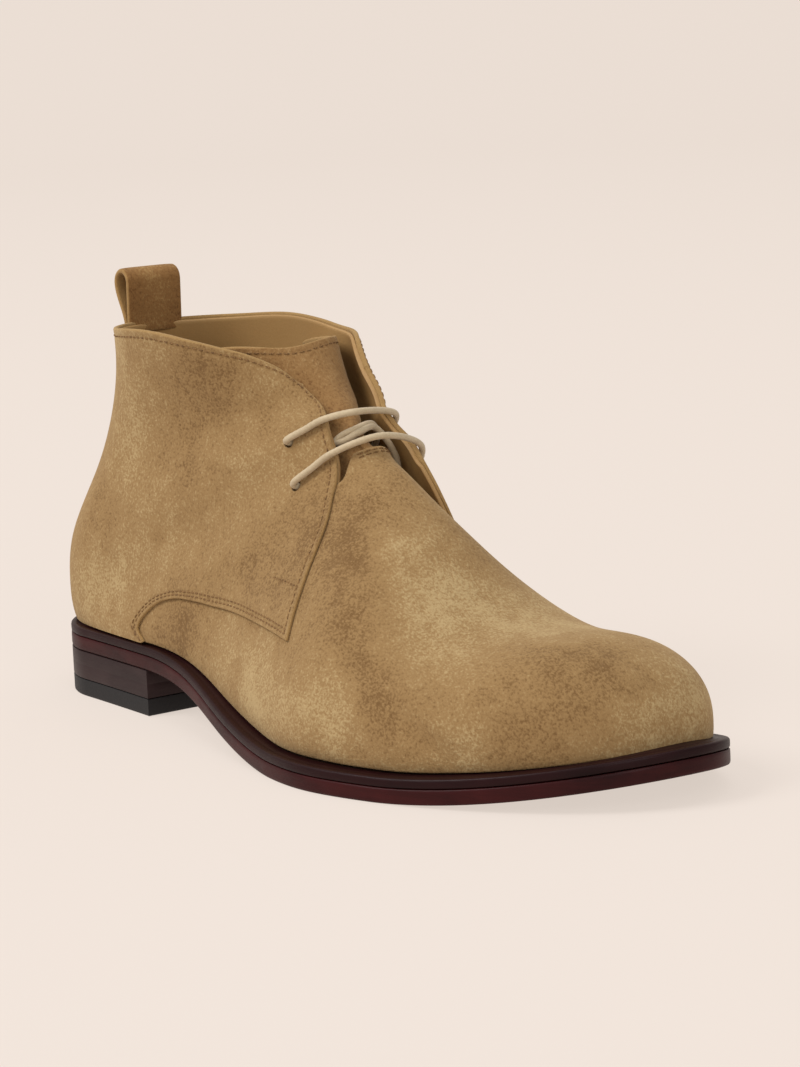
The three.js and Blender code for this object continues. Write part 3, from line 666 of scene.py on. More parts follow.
def lapped(at, angle):
    """1 where the quarter lies on the vamp, 0 where only the lining is behind it."""
    side = np.where(np.sin(angle) >= 0, -1, 1)
    around = np.where(side < 0, angle, TURN - angle)
    section = np.clip(at, 120, VAMP_END)
    foot = np.where(side < 0, feather_angle(section, -1), feather_angle(section, 1))
    return ease((at - vamp_back(around / foot)) / 6)


# %% [markdown]
# ## Shader arithmetic
# A finish is a short sum of noises and masks. Written as nodes one by one it is hard to read, so a
# small class wraps a socket and lets it stand in ordinary expressions: each operator adds its node.

# %% Sockets in expressions
class Term:
    """A socket of one finish's node tree that can be added, subtracted, multiplied and so on."""

    def __init__(self, finish, socket):
        self.finish, self.socket = finish, socket

    def _math(self, operation, a, b):
        return self.finish.node("ShaderNodeMath", {"operation": operation}, {0: a, 1: b})

    def __add__(self, other):
        return self._math("ADD", self, other)

    def __radd__(self, other):
        return self._math("ADD", other, self)

    def __sub__(self, other):
        return self._math("SUBTRACT", self, other)

    def __rsub__(self, other):
        return self._math("SUBTRACT", other, self)

    def __mul__(self, other):
        return self._math("MULTIPLY", self, other)

    def __rmul__(self, other):
        return self._math("MULTIPLY", other, self)

    def clamped(self, low=0.0, high=1.0):
        return self.finish.node("ShaderNodeClamp", {}, {"Value": self, "Min": low, "Max": high})

    def between(self, low, high):
        """0 at low, 1 at high, eased."""
        return self.finish.node("ShaderNodeMapRange", {"interpolation_type": "SMOOTHSTEP"},
                                {"Value": self, "From Min": low, "From Max": high})


class Finish:
    """One material: its node tree and its shader."""

    def __init__(self, name, **constants):
        self.material = bpy.data.materials.new(name)
        self.material.use_nodes = True
        self.tree = self.material.node_tree
        self.shader = self.tree.nodes["Principled BSDF"]
        for socket, value in constants.items():
            self.shader.inputs[socket.replace("_", " ")].default_value = value

    def node(self, kind, settings, inputs, output=0):
        """Adds a node: its settings first, then the values or links of its sockets."""
        node = self.tree.nodes.new(kind)
        for key, value in settings.items():
            setattr(node, key, value)
        for key, value in inputs.items():
            self.feed(node.inputs[key], value)
        return Term(self, node.outputs[output])

    def feed(self, socket, value):
        if isinstance(value, Term):
            self.tree.links.new(value.socket, socket)
        else:
            socket.default_value = value

    def place(self):
        """Object coordinates."""
        return self.node("ShaderNodeTexCoord", {}, {}, "Object")

    def number(self, name):
        """A number that the mesh carries on its points."""
        return self.node("ShaderNodeAttribute", {"attribute_name": name}, {}, "Fac")

    def noise(self, size_mm, detail=3.0, rough=0.55, stretch=(1, 1, 1), distortion=0.0):
        """Noise about 0.5 with grains of about size_mm, longer where stretch is below 1."""
        turned = self.node("ShaderNodeMapping", {"vector_type": "POINT"},
                           {"Vector": self.place(), "Scale": stretch})
        return self.node("ShaderNodeTexNoise", {}, {"Vector": turned, "Scale": 1000 / size_mm,
                         "Detail": detail, "Roughness": rough, "Distortion": distortion}, "Fac")

    def blend(self, a, b, share):
        """Colour a to colour b."""
        return self.node("ShaderNodeMix", {"data_type": "RGBA"}, {0: share, 6: a, 7: b}, 2)

    def bump(self, height, depth_mm, normal=None):
        """Height 0..1 as a relief of depth_mm."""
        inputs = {"Height": height, "Strength": 1.0, "Distance": depth_mm / 1000}
        if normal is not None:
            inputs["Normal"] = normal
        return self.node("ShaderNodeBump", {}, inputs, "Normal")

    def wear(self, **sockets):
        """Feeds the shader's own sockets and gives the material."""
        for socket, value in sockets.items():
            self.feed(self.shader.inputs[socket.replace("_", " ")], value)
        return self.material


def tint(red, green, blue):
    """A paint-card colour, 0..255, as the linear colour that a shader takes."""
    card = np.array([red, green, blue]) / 255
    linear = np.where(card <= 0.04045, card / 12.92, ((card + 0.055) / 1.055) ** 2.4)
    return (*[float(v) for v in linear], 1.0)


# %% [markdown]
# ## Suede
# Suede is the flesh side of a hide, sanded to a nap. Close to, it is a felt of short fibres with
# lighter tips; from further off it is cloudy where it has been brushed. Three layers do this: clouds
# of a few centimetres with the listed patches, which also paint shade into the creases' troughs and
# highlights onto the raised creases, a felt of half a millimetre, and fine bright fibres. The shader's
# sheen gives the soft light edge that a nap has. Cut edges show the pale fibre of the hide's middle.

# %% Suede
SUEDE_LIGHT, SUEDE_MID, SUEDE_DARK = tint(173, 148, 106), tint(146, 116, 76), tint(113, 84, 51)
SUEDE_CUT = tint(158, 126, 80)


def suede(name, light=SUEDE_LIGHT, mid=SUEDE_MID, dark=SUEDE_DARK, patchy=0.50):
    """Napped leather: brushed clouds with painted shade and highlights along the creases, felt and fibre
    tips, paler on its cut edges.
    """
    f = Finish(name, Roughness=0.93, Sheen_Weight=0.32, Sheen_Roughness=0.45, Specular_IOR_Level=0.12)
    f.shader.inputs["Sheen Tint"].default_value = tint(228, 205, 165)
    clouds = f.noise(42, 3.0, 0.5, (1, 1, 0.7), 0.6)
    mottle = f.noise(9, 4.0, 0.6, (1, 1, 1), 0.4)
    felt = f.noise(1.0, 3.0, 0.6)
    fibre = f.noise(0.45, 2.0, 0.6, (0.5, 1, 0.6))
    tone = f.number("tone") * patchy + (clouds - 0.5) * 1.1 + (mottle - 0.5) * 1.1
    grain = (felt - 0.5) * 1.7 + (fibre - 0.5) * 1.3
    lightness = tone + grain
    # Where the tone is low the suede darkens and where it is high it lightens: brushed nap, with painted
    # shade in the creases' troughs and painted highlights on the raised creases.
    darker_nap_and_painted_shade = f.blend(mid, dark, (0 - lightness).between(0.0, 0.75))
    colour = f.blend(darker_nap_and_painted_shade, light, lightness.between(0.0, 0.75))
    edge = f.number("cut")
    colour = f.blend(colour, SUEDE_CUT, (edge * 0.75 + (felt - 0.5) * 0.5 * edge).clamped())
    relief = f.bump(felt * 0.6 + fibre * 0.4, 0.34, f.bump(mottle, 0.6))
    return f.wear(Base_Color=colour, Normal=relief)


suede_finish = suede("tan_suede")
loop_suede = suede("loop_suede", tint(160, 126, 80), tint(136, 99, 58), tint(108, 73, 40))
tongue_suede = suede("tongue_suede", tint(164, 132, 90), tint(140, 106, 66), tint(112, 78, 46))

# %% Lining and edge thread
def lining_leather(name, base, deep):
    """Smooth vegetable-tanned leather with a fine pore and faint clouds."""
    f = Finish(name, Specular_IOR_Level=0.35)
    clouds = f.noise(30, 3.0, 0.5)
    pore = f.noise(0.8, 3.0, 0.65)
    colour = f.blend(base, deep, (clouds - 0.25 + (pore - 0.5) * 0.4).clamped())
    return f.wear(Base_Color=colour, Roughness=0.5 + pore * 0.2, Normal=f.bump(pore, 0.08))


def thread(name, base, deep):
    """Twisted thread: a fine light and dark twist."""
    f = Finish(name, Roughness=0.7, Specular_IOR_Level=0.25)
    twist = f.noise(0.5, 2.0, 0.6)
    return f.wear(Base_Color=f.blend(deep, base, twist.between(0.35, 0.6)), Normal=f.bump(twist, 0.1))


lining_finish = lining_leather("lining_leather", tint(168, 132, 82), tint(144, 108, 62))
insole_finish = lining_leather("insole_leather", tint(170, 132, 84), tint(146, 106, 62))
seam_thread = thread("seam_thread", tint(136, 102, 62), tint(92, 66, 38))

# %% [markdown]
# ## The vamp
# One piece of suede covers the forefoot: from a curved back edge at the throat, over the toes, down
# to the welt all round, and back under the quarters at both sides. Its grid runs from the back edge
# to the toe and from welt to welt. Troughs are pressed into it along the creases. A lining of the
# same cut lies behind it.

# %% Vamp
VAMP_STEPS = (190, 180)
SUEDE_THICK = 1.2
LINING_GAP = 0.05


def vamp_places(steps, back=0.0):
    """(section, angle) on a grid: u goes as sin(pi t / 2) from the back edge to the toe, v evenly
    from the inner side's welt over the ridge to the outer side's."""
    u = np.sin(np.linspace(0, np.pi / 2, steps[0] + 1))[:, None]
    spread = np.linspace(-1, 1, steps[1] + 1)[None, :]
    at = mix(vamp_back(np.abs(spread)) + back, VAMP_END, u)
    foot = np.where(spread < 0, feather_angle(at, 1), feather_angle(at, -1))
    return at, spread * foot


def make_vamp():
    """The face lies on the form less its creases; the flesh side one thickness below."""
    at, angle = vamp_places(VAMP_STEPS)
    ground = form_point(at, angle)
    crease = crease_depth(ground)
    face = off_form(at, angle, -crease)
    flesh = off_form(at, angle, -crease - SUEDE_THICK)
    numbers = {"tone": nap_and_shade_tone(ground)}
    mesh = build_mesh("vamp", *leather_sheet(face, flesh, numbers))
    add_piece("vamp", mesh, suede_finish, "suede", "upper")


def make_vamp_lining():
    """The vamp's cut again, between its flesh side and the inside of the wall."""
    at, angle = vamp_places((60, 60))
    depth = crease_depth(form_point(at, angle)) + SUEDE_THICK + LINING_GAP
    points = leather_sheet(off_form(at, angle, -depth), off_form(at, angle, -depth - WALL + SUEDE_THICK))
    add_piece("vamp_lining", build_mesh("vamp_lining", *points), lining_finish, "suede", "upper")


make_vamp()
make_vamp_lining()

# %% [markdown]
# ## The quarters and their lining
# Each quarter is half of the patch, split at the back of the heel where the back strip covers the
# join. The eyelets are holes punched straight through suede and lining: a Boolean with a round punch
# makes a cleaner hole than pushing grid points aside.

# %% Quarters
QUARTER_STEPS = (170, 120)
QUARTER_BACK = -0.4          # flesh side of the quarters, where they are free of the vamp
LAP = 0.16                   # flesh side of the quarters, where they lie on the vamp
SEAM_VALLEY, SEAM_VALLEY_WIDTH = 0.16, 0.75
SEW_ROW = 2.1                # from a cut edge to its row of stitches


def quarter_grid(side, steps, top=1.0):
    """(section, angle) over one quarter; side -1 is the outer one, 1 the inner one."""
    half = graded(steps[0], 0.5) / 2
    u = half if side < 0 else 1 - half
    v = graded(steps[1], 0.45) * top
    place = quarter_place(u[:, None], v[None, :])
    return place[..., 0], place[..., 1], u


def seam_valley(points, sewn):
    """1 along the row of stitches inside the sewn edges, falling off to both sides as exp(-d^2)."""
    return np.exp(-((distance_to_lines(points, sewn) - SEW_ROW) / SEAM_VALLEY_WIDTH) ** 2)


def quarter_faces(side):
    """Face and flesh side of one quarter, pulled in along its rows of stitches."""
    at, angle, u = quarter_grid(side, QUARTER_STEPS)
    ground = form_point(at, angle)
    lift = flare(at, angle) - crease_depth(ground) * 0.8
    inside = mix(QUARTER_BACK, LAP, lapped(at, angle))
    bare = off_form(at, angle, PROUD + lift)
    low = bare[(u if side < 0 else 1 - u) <= SEAM_SHARE, 0]
    sewn = np.concatenate([bare[:, -1], bare[0], low])
    face = off_form(at, angle, PROUD + lift - SEAM_VALLEY * seam_valley(bare, sewn))
    flesh = off_form(at, angle, inside + lift)
    return face, flesh, {"tone": nap_and_shade_tone(ground)}


def punch(mesh, side):
    """Cuts the eyelets out of a mesh with round punches, and gives the mesh that is left."""
    body = bpy.data.objects.new("punched", mesh)
    bpy.context.scene.collection.objects.link(body)
    cutters = []
    for at, angle in EYELETS if side < 0 else INNER_EYELETS:
        around = angle if side < 0 else TURN - angle
        middle = to_frame(off_form(at, around, flare(at, around)))
        normal = Vector(form_normal(at, around))
        tool = bmesh.new()
        bmesh.ops.create_cone(tool, cap_ends=True, segments=28, radius1=EYELET_RADIUS / 1000,
                              radius2=EYELET_RADIUS / 1000, depth=0.012)
        bmesh.ops.transform(tool, verts=tool.verts, matrix=Matrix.Translation(Vector(middle))
                            @ Vector((0, 0, 1)).rotation_difference(normal).to_matrix().to_4x4())
        shape = bpy.data.meshes.new("punch")
        tool.to_mesh(shape)
        tool.free()
        cutter = bpy.data.objects.new("punch", shape)
        bpy.context.scene.collection.objects.link(cutter)
        cut = body.modifiers.new("punch", "BOOLEAN")
        cut.operation, cut.solver, cut.object = "DIFFERENCE", "EXACT", cutter
        cutters.append(cutter)
    bpy.context.view_layer.update()
    done = bpy.data.meshes.new_from_object(body.evaluated_get(bpy.context.evaluated_depsgraph_get()))
    for spare in (body, *cutters):
        bpy.data.objects.remove(spare)
    done.shade_smooth()
    done.set_sharp_from_angle(angle=SMOOTH_BELOW)
    return done


quarter_face = {}
for side, word in ((-1, "outer"), (1, "inner")):
    face, flesh, numbers = quarter_faces(side)
    quarter_face[side] = face
    cut_mesh = punch(build_mesh(f"quarter_{word}", *leather_sheet(face, flesh, numbers)), side)
    add_piece(f"quarter_{word}", cut_mesh, suede_finish, "suede", "upper")

# %% Quarter lining
LINING_STEPS = (120, 60)
LINING_TOP = 0.994           # the lining is trimmed just below the collar's edge


def make_quarter_lining(side, name):
    """Behind the quarter's flesh side down to the inside of the wall; thin where it is lapped."""
    at, angle, _ = quarter_grid(side, LINING_STEPS, LINING_TOP)
    share = lapped(at, angle) * (1 - ease((flare(at, angle) - 2) / 2))
    lift = flare(at, angle) - crease_depth(form_point(at, angle)) * 0.8
    outside = mix(QUARTER_BACK, LAP, lapped(at, angle)) - LINING_GAP
    thick = mix(WALL + QUARTER_BACK - LINING_GAP, 0.06, share)
    face, flesh = off_form(at, angle, outside + lift), off_form(at, angle, outside - thick + lift)
    mesh = punch(build_mesh(name, *leather_sheet(face, flesh)), side)
    add_piece(name, mesh, lining_finish, "suede", "upper")


for side, word in ((-1, "outer"), (1, "inner")):
    make_quarter_lining(side, f"lining_{word}")

# %% [markdown]
# ## Back strip
# A narrow strip of suede runs down the back of the heel over the join of the quarters, from the
# collar to the welt, a little wider at the foot.

# %% Back strip
STRIP_THICK, STRIP_VALLEY = 0.9, 0.14
STRIP_HALF_TOP, STRIP_HALF_FOOT = 8.0, 12.5


def strip_grid(rows, columns):
    """(section, angle) from the collar down the back: the half width in mm over the distance that
    one radian covers there gives the half angle."""
    foot = float(feather_section(math.pi))
    at = mix(COLLAR_BACK, foot, np.linspace(0, 1, rows + 1))[:, None]
    share = np.linspace(-1, 1, columns + 1)[None, :]
    reach = np.linalg.norm(form_point(at, np.pi + 0.2) - form_point(at, np.pi - 0.2), axis=-1) / 0.4
    half = mix(STRIP_HALF_TOP, STRIP_HALF_FOOT, (at - COLLAR_BACK) / (foot - COLLAR_BACK))
    return np.broadcast_to(at, (rows + 1, columns + 1)), np.pi + share * half / reach


def make_back_strip():
    """Lies on the quarters, one strip's thickness proud."""
    at, angle = strip_grid(110, 26)
    ground = form_point(at, angle)
    crease = crease_depth(ground) * 0.8
    top = PROUD + STRIP_THICK
    bare = off_form(at, angle, top - crease)
    sewn = np.concatenate([bare[:, 0], bare[:, -1]])
    face = off_form(at, angle, top - crease - STRIP_VALLEY * seam_valley(bare, sewn))
    flesh = off_form(at, angle, PROUD + 0.02 - crease)
    mesh = build_mesh("back_strip", *leather_sheet(face, flesh, {"tone": nap_and_shade_tone(ground)}))
    add_piece("back_strip", mesh, suede_finish, "suede", "upper")
    return face


strip_face = make_back_strip()

# %% [markdown]
# ## Tongue
# The tongue carries on from under the vamp's throat to above the facings. It is a little hollow at
# the outer side, where the lace passes over it, and its inner side rises with the inner facing.

# %% Tongue
TONGUE_FROM, TONGUE_TO = 37, 147
TONGUE_HALF_AT, TONGUE_HALF = (37, 60, 90, 120, 147), (1.25, 1.0, 0.85, 0.75, 0.6)
TONGUE_THICK = 2.2
CLEAR = 0.6
LACE_HOLLOW, HOLLOW_FROM, HOLLOW_TO = 3.3, (86, 98), (140, 145)
TONGUE_RISE, RISE_ENDS = 0.6, (98, 124)      # share of the inner facing's stand-off that it follows
OUTER_CORNER, INNER_CORNER, CORNER_SHARE = 9.0, 3.0, 0.16
VALLEY = 0.14                                # depth that a row of stitches pulls in


def tongue_depth(at, angle):
    """Depth under the form: just under the facings, and deeper under the lace."""
    under_lace = eased(at, *HOLLOW_FROM) * (1 - eased(at, *HOLLOW_TO))
    return WALL + CLEAR + LACE_HOLLOW * under_lace * ease((angle + 0.25) / 0.35)


def make_tongue():
    """Face and flesh side run along the sections; its top corners are rounded in by an ease."""
    u, v = graded(110, 0.4)[:, None], np.linspace(-1, 1, 71)[None, :]
    round_in = np.where(v > 0, OUTER_CORNER, INNER_CORNER) * (1 - ease(u / CORNER_SHARE))
    at = mix(TONGUE_FROM, TONGUE_TO, u) + round_in * np.abs(v) ** 6
    angle = v * np.interp(mix(TONGUE_FROM, TONGUE_TO, u), TONGUE_HALF_AT, TONGUE_HALF)
    ground = form_point(at, angle)
    rise = TONGUE_RISE * under_flare(at, angle) * (1 - eased(at, *RISE_ENDS))
    depth = tongue_depth(at, angle) - rise
    bare = off_form(at, angle, -depth)
    sewn = np.concatenate([bare[0], bare[:, 0], bare[:, -1]])
    valley = VALLEY * seam_valley(bare, sewn)
    face, flesh = off_form(at, angle, -depth - valley), off_form(at, angle, -depth - TONGUE_THICK)
    mesh = build_mesh("tongue", *leather_sheet(face, flesh, {"tone": nap_and_shade_tone(ground)}))
    add_piece("tongue", mesh, tongue_suede, "suede", "tongue")
    return face


tongue_face = make_tongue()

# %% [markdown]
# ## Pull loop
# A strap of suede is folded over and sewn in at the back of the collar. Seen from the side it is a
# drop: a half circle at the top whose two sides come together at the foot. The strap's middle line
# is carried straight across the boot.

# %% Pull loop
LOOP_WIDTH, LOOP_HEIGHT, LOOP_DEPTH, LOOP_STRAP = 20, 19, 10, 1.8
LOOP_LEAN, LOOP_OFF_CENTRE, LOOP_SUNK = -3.0, 1.5, 2.5


def bezier(a, b, c, d, t):
    """Cubic with end points a and d, and handles b and c."""
    a, b, c, d = (np.array(p, float) for p in (a, b, c, d))
    t = t[:, None]
    return a * (1 - t) ** 3 + 3 * b * t * (1 - t) ** 2 + 3 * c * t * t * (1 - t) + d * t**3


def drop_line(out):
    """The strap's line seen from the side (x forward, z up), moved out of the loop by out."""
    half, top = (LOOP_DEPTH - LOOP_STRAP) / 2 + out, LOOP_HEIGHT - LOOP_DEPTH / 2
    foot = LOOP_STRAP / 2 + 0.06 + out
    rear, fore = LOOP_LEAN - half, LOOP_LEAN + half
    t = np.linspace(0, 1, 15)
    back = bezier((-foot, -LOOP_SUNK), (-foot, 0.3 * top), (rear, 0.6 * top), (rear, top), t)
    turn = np.linspace(np.pi, 0, 25)
    over = np.stack([LOOP_LEAN + half * np.cos(turn), top + half * np.sin(turn)], -1)
    front = bezier((fore, top), (fore, 0.6 * top), (foot, 0.3 * top), (foot, -LOOP_SUNK), t)
    return np.concatenate([back, over[1:-1], front])


def make_pull_loop():
    """The line's outside and inside, each carried across the width, with slightly worn edges."""
    foot = off_form(COLLAR_BACK, np.pi, (PROUD - WALL) / 2)
    across = mix(-1, 1, graded(24, 0.4))
    y = foot[1] - LOOP_OFF_CENTRE + across * LOOP_WIDTH / 2
    wear = 0.10 * np.abs(across) ** 6

    def side(out):
        line = drop_line(out)
        grid = np.zeros((len(line), len(y), 3))
        grid[..., 0] = foot[0] + line[:, :1]
        grid[..., 1] = y[None, :] + 0.35 * np.sin(np.linspace(0, 3.1, len(line)))[:, None]
        grid[..., 2] = foot[2] + line[:, 1:]
        return grid

    face, flesh = side(LOOP_STRAP / 2), side(-LOOP_STRAP / 2)
    face = face + (flesh - face) * wear[None, :, None]
    tone = np.broadcast_to(0.4 * np.cos(across * 3)[None, :], face.shape[:2])
    mesh = build_mesh("pull_loop", *leather_sheet(face, flesh, {"tone": tone}))
    add_piece("pull_loop", mesh, loop_suede, "suede", "pull_loop")


make_pull_loop()

# %% [markdown]
# ## Insole
# Inside lies a smooth leather sock over the insole, cut to the sole's outline less the wall.

# %% Insole
WELT_UNDER_BACK, WELT_UNDER_FRONT, UNDER_CHANGES = 3.4, 2.4, 150
INSOLE_ROOM, INSOLE_ABOVE = 0.9, 2.0


def carried_profile(line, inward, middle, profile, height):
    """A profile of (inset, share to the middle, rise) carried round an outline: each point goes
    in by its inset, then a share of the way to the middle line, and stands rise above height(x)."""
    rings = []
    for inset, share, rise in profile:
        ring = line + inward * inset
        ring = mix(ring, middle, share)
        rings.append(np.column_stack([ring, height(ring[:, 0]) + rise]))
    return np.stack(rings, 1)


def middle_line(line):
    """For each outline point, the point half way to the one across the sole."""
    across = np.roll(line[::-1], 1, axis=0)
    return (line + across) / 2


def welt_width(line):
    """All of the welt at each point of the outline: what shows and what lies under the upper."""
    inner = np.arange(len(line)) >= len(line) // 2
    under = np.where(line[:, 0] < UNDER_CHANGES, WELT_UNDER_BACK, WELT_UNDER_FRONT)
    return welt_shown(line[:, 0], inner) + under


def make_insole():
    """Flat top with a rounded rim, closed at the middle line above and below."""
    line, inward = sole_loop(240)
    edge = line + inward * (welt_width(line) + INSOLE_ROOM)[:, None]
    top = INSOLE_ABOVE
    profile = [(0, 1, -WELT), (0, 0.5, -WELT), (0, 0, -WELT), (0, 0, top - 0.6), (0.2, 0, top - 0.15),
               (0.7, 0, top), (0, 0.3, top), (0, 0.6, top), (0, 1, top)]
    points = carried_profile(edge, inward, middle_line(edge), profile, welt_top)
    mesh = build_mesh("insole", points.reshape(-1, 3), grid_faces(len(line), len(profile), wrap_rows=True))
    add_piece("insole", mesh, insole_finish, "insole_leather", "insole")


make_insole()

# %% [markdown]
# ## Welt, outsole and heel
# The sole's edges are trimmed together, waxed and burnished, so they read as one dark band with a
# fine line between welt and outsole. Each is a profile carried once round the outline. The heel is
# a stack of leather lifts with faint joints and a rubber piece nailed under it.

# %% Dark waxed edges
def waxed_edge(name, base, deep, streak=0.5):
    """Burnished leather: a deep colour with streaks along the edge under a wax gloss."""
    f = Finish(name, Specular_IOR_Level=0.1, Coat_Roughness=0.25)
    cloud = f.noise(26, 3.0, 0.55, (1, 1, 2.5), 0.3)
    fibre = f.noise(2.2, 4.0, 0.65, (0.25, 0.25, 3.0))
    rub = f.noise(7, 4.0, 0.6)
    share = ((cloud - 0.5) * 1.6 + (fibre - 0.5) * streak + 0.5).clamped()
    return f.wear(Base_Color=f.blend(deep, base, share), Roughness=0.38 + rub * 0.16,
                  Coat_Weight=0.05 + (cloud - 0.5) * 0.1, Normal=f.bump(fibre, 0.10))


def moulded_rubber(name):
    """Near-black rubber with a fine tooth."""
    f = Finish(name, Specular_IOR_Level=0.35)
    tooth = f.noise(0.9, 3.0, 0.6)
    colour = f.blend(tint(14, 12, 13), tint(26, 23, 24), tooth)
    return f.wear(Base_Color=colour, Roughness=0.5 + tooth * 0.2, Normal=f.bump(tooth, 0.08))


welt_finish = waxed_edge("welt_wax", tint(42, 14, 15), tint(24, 8, 9))
outsole_finish = waxed_edge("outsole_wax", tint(66, 20, 20), tint(34, 11, 12))
heel_finish = waxed_edge("heel_wax", tint(58, 42, 41), tint(38, 25, 26), 0.3)
rubber_finish = moulded_rubber("heel_rubber")

# %% Welt
WELT_PROFILE = [
    # inset, rise from the welt's top
    (0.9, -WELT), (0.35, -WELT + 0.08), (0.05, -WELT + 0.35), (0.0, -WELT + 1.0), (0.0, -1.0),
    (0.12, -0.45), (0.45, -0.12), (1.0, 0.0), (2.2, 0.02), (2.6, -0.14), (3.0, 0.02), (4.0, 0.02),
]


def make_welt():
    """The profile goes up the trimmed edge and over the top to under the upper, and back."""
    line, inward = sole_loop()
    width = welt_width(line)
    rings = []
    for inset, rise in [*WELT_PROFILE, (None, 0.0), (None, -WELT)]:
        away = width if inset is None else np.minimum(inset, width * 0.9)
        ring = line + inward * away[:, None]
        rings.append(np.column_stack([ring, welt_top(line[:, 0]) + rise]))
    points = np.stack(rings, 1)
    faces = grid_faces(len(line), points.shape[1], wrap_rows=True, wrap_columns=True)
    mesh = build_mesh("welt", points.reshape(-1, 3), faces)
    add_piece("welt", mesh, welt_finish, "sole_edge", "welt")


make_welt()

# %% Outsole
OUTSOLE_GAP = 0.12
CHANNEL_IN, CHANNEL_HALF, CHANNEL_DEEP = 5.5, 0.5, 0.22
FLAT_IN = 9.0                # from here on the underside is plain to its middle


def make_outsole():
    """Top flat under the welt; a rounded edge with a small lip; the sewing channel's closed line
    runs round underneath."""
    line, inward = sole_loop()
    top = OUTSOLE - OUTSOLE_GAP
    profile = [(0, 1, top), (0, 0.5, top), (0.9, 0, top), (0.3, 0, top - 0.1), (0.04, 0, top - 0.45),
               (0.0, 0, top - 1.2), (0.0, 0, 1.1), (0.08, 0, 0.5), (0.35, 0, 0.12), (0.9, 0, 0.0),
               (CHANNEL_IN - CHANNEL_HALF, 0, 0.0), (CHANNEL_IN, 0, CHANNEL_DEEP),
               (CHANNEL_IN + CHANNEL_HALF, 0, 0.0), (FLAT_IN, 0, 0.0), (FLAT_IN, 0.5, 0.0), (0, 1, 0.0)]
    points = carried_profile(line, inward, middle_line(line), profile, sole_bottom)
    mesh = build_mesh("outsole", points.reshape(-1, 3), grid_faces(len(line), len(profile), wrap_rows=True))
    add_piece("outsole", mesh, outsole_finish, "sole_edge", "outsole")


make_outsole()

# %% Heel
def heel_outline():
    """The sole's outline behind the breast, which is cut slightly askew, and the breast itself."""
    end = float(root(lambda share: outline_point(share, -1.0)[..., 0] - BREAST, 0.0, 0.6))
    start = outline_point(np.array(end), -1.0)

    def past_breast(share):
        p = outline_point(share, 1.0)
        return p[..., 0] - BREAST - (p[..., 1] - start[1]) * math.tan(BREAST_SLANT)

    inner = float(root(past_breast, 0.0, 0.6))
    pace = np.linspace(0, 1, 90)
    outer_line = outline_point(end * (1 - pace), -1.0)
    inner_line = outline_point(inner * pace[1:], 1.0)
    breast = mix(inner_line[-1], outer_line[0], np.linspace(0, 1, 40)[1:-1, None])
    line = np.concatenate([outer_line, inner_line, breast])
    along = unit(unit(np.roll(line, -1, 0) - line) + unit(line - np.roll(line, 1, 0)))
    return line, np.stack([along[:, 1], -along[:, 0]], -1)


def make_heel_layer(name, low, high, profile, finish, slot):
    """Side wall from low to high, with caps that close on the heel's middle."""
    line, outward = heel_outline()
    inward = -outward if np.mean(((line - line.mean(0)) * outward).sum(1)) > 0 else outward
    middle = np.broadcast_to(line.mean(0), line.shape)
    wall = [(inset, 0, rise) for inset, rise in profile]
    whole = [(0, 1, low), (0, 0.5, low), *wall, (0, 0.5, high), (0, 1, high)]
    points = carried_profile(line, inward, middle, whole, lambda x: 0 * x)
    mesh = build_mesh(name, points.reshape(-1, 3), grid_faces(len(line), len(whole), wrap_rows=True))
    add_piece(name, mesh, finish, slot, name)


STACK_LOW, STACK_HIGH = TOP_PIECE, HEEL_LIFT - 0.12
LIFT_JOINT = (STACK_LOW + STACK_HIGH) / 2
make_heel_layer("heel_stack", STACK_LOW, STACK_HIGH, [
    (0.5, STACK_LOW), (0.12, STACK_LOW + 0.12), (0.0, STACK_LOW + 0.5), (0.0, LIFT_JOINT - 0.25),
    (0.07, LIFT_JOINT), (0.0, LIFT_JOINT + 0.25), (0.0, STACK_HIGH - 0.4), (0.1, STACK_HIGH - 0.08),
    (0.4, STACK_HIGH),
], heel_finish, "heel_leather")
make_heel_layer("heel_top_piece", 0.0, TOP_PIECE - 0.15, [
    (0.9, 0.0), (0.3, 0.12), (0.05, 0.45), (0.0, 1.0), (0.0, TOP_PIECE - 0.6),
    (0.1, TOP_PIECE - 0.22), (0.4, TOP_PIECE - 0.15),
], rubber_finish, "heel_rubber")

# %% [markdown]
# ## Lace
# The lace is a thin round waxed cord. It comes up through an outer eyelet, crosses the throat as a bar
# and goes down through the inner one; two strands join the bars underneath and cross the tongue
# side by side. The route is a list of places on the last, and the cord is a round section
# carried along it with a frame that turns as little as it can, so that its braid doesn't twist.

# %% Lace
LACE_RADIUS, LACE_DRAWN = 1.2, 0.86          # share of the radius that is left under tension
OUTSIDE = PROUD + LACE_RADIUS + 0.45
INSIDE = -WALL - LACE_RADIUS - 0.45
LACE_SIDES, LACE_STEP = 20, 0.5
BRAID_SWELL, BRAID_BACK_SWELL = 0.04, 0.03   # of the two plaits that cross
BRAID_COUNT, BRAID_PITCH = 4, 1.6
CORD_END = np.array([[0.01], [0.8]])         # radius of the first two rings, which close the end


def lace_bar(outer, inner):
    """Up through the outer eyelet, over both facing edges and down through the inner eyelet."""
    (at0, angle0), (at1, angle1) = outer, inner
    edge, far_edge = float(facing_angle(at0 - 4)), float(inner_facing(at1 - 5))
    return [(at0, angle0, INSIDE), (at0, angle0, -0.3), (at0, angle0, OUTSIDE - 0.4),
            (at0 - 2, mix(angle0, edge, 0.5), OUTSIDE), (at0 - 4, edge, OUTSIDE + 0.2),
            (mix(at0 - 4, at1 - 5, 0.5), 0.02, OUTSIDE + 1.9), (at1 - 5, -far_edge, OUTSIDE - 0.3),
            (at1 - 2, -mix(angle1, far_edge, 0.4), OUTSIDE - 0.5), (at1, -angle1, OUTSIDE - 1.3),
            (at1, -angle1, -0.3), (at1, -angle1, INSIDE)]


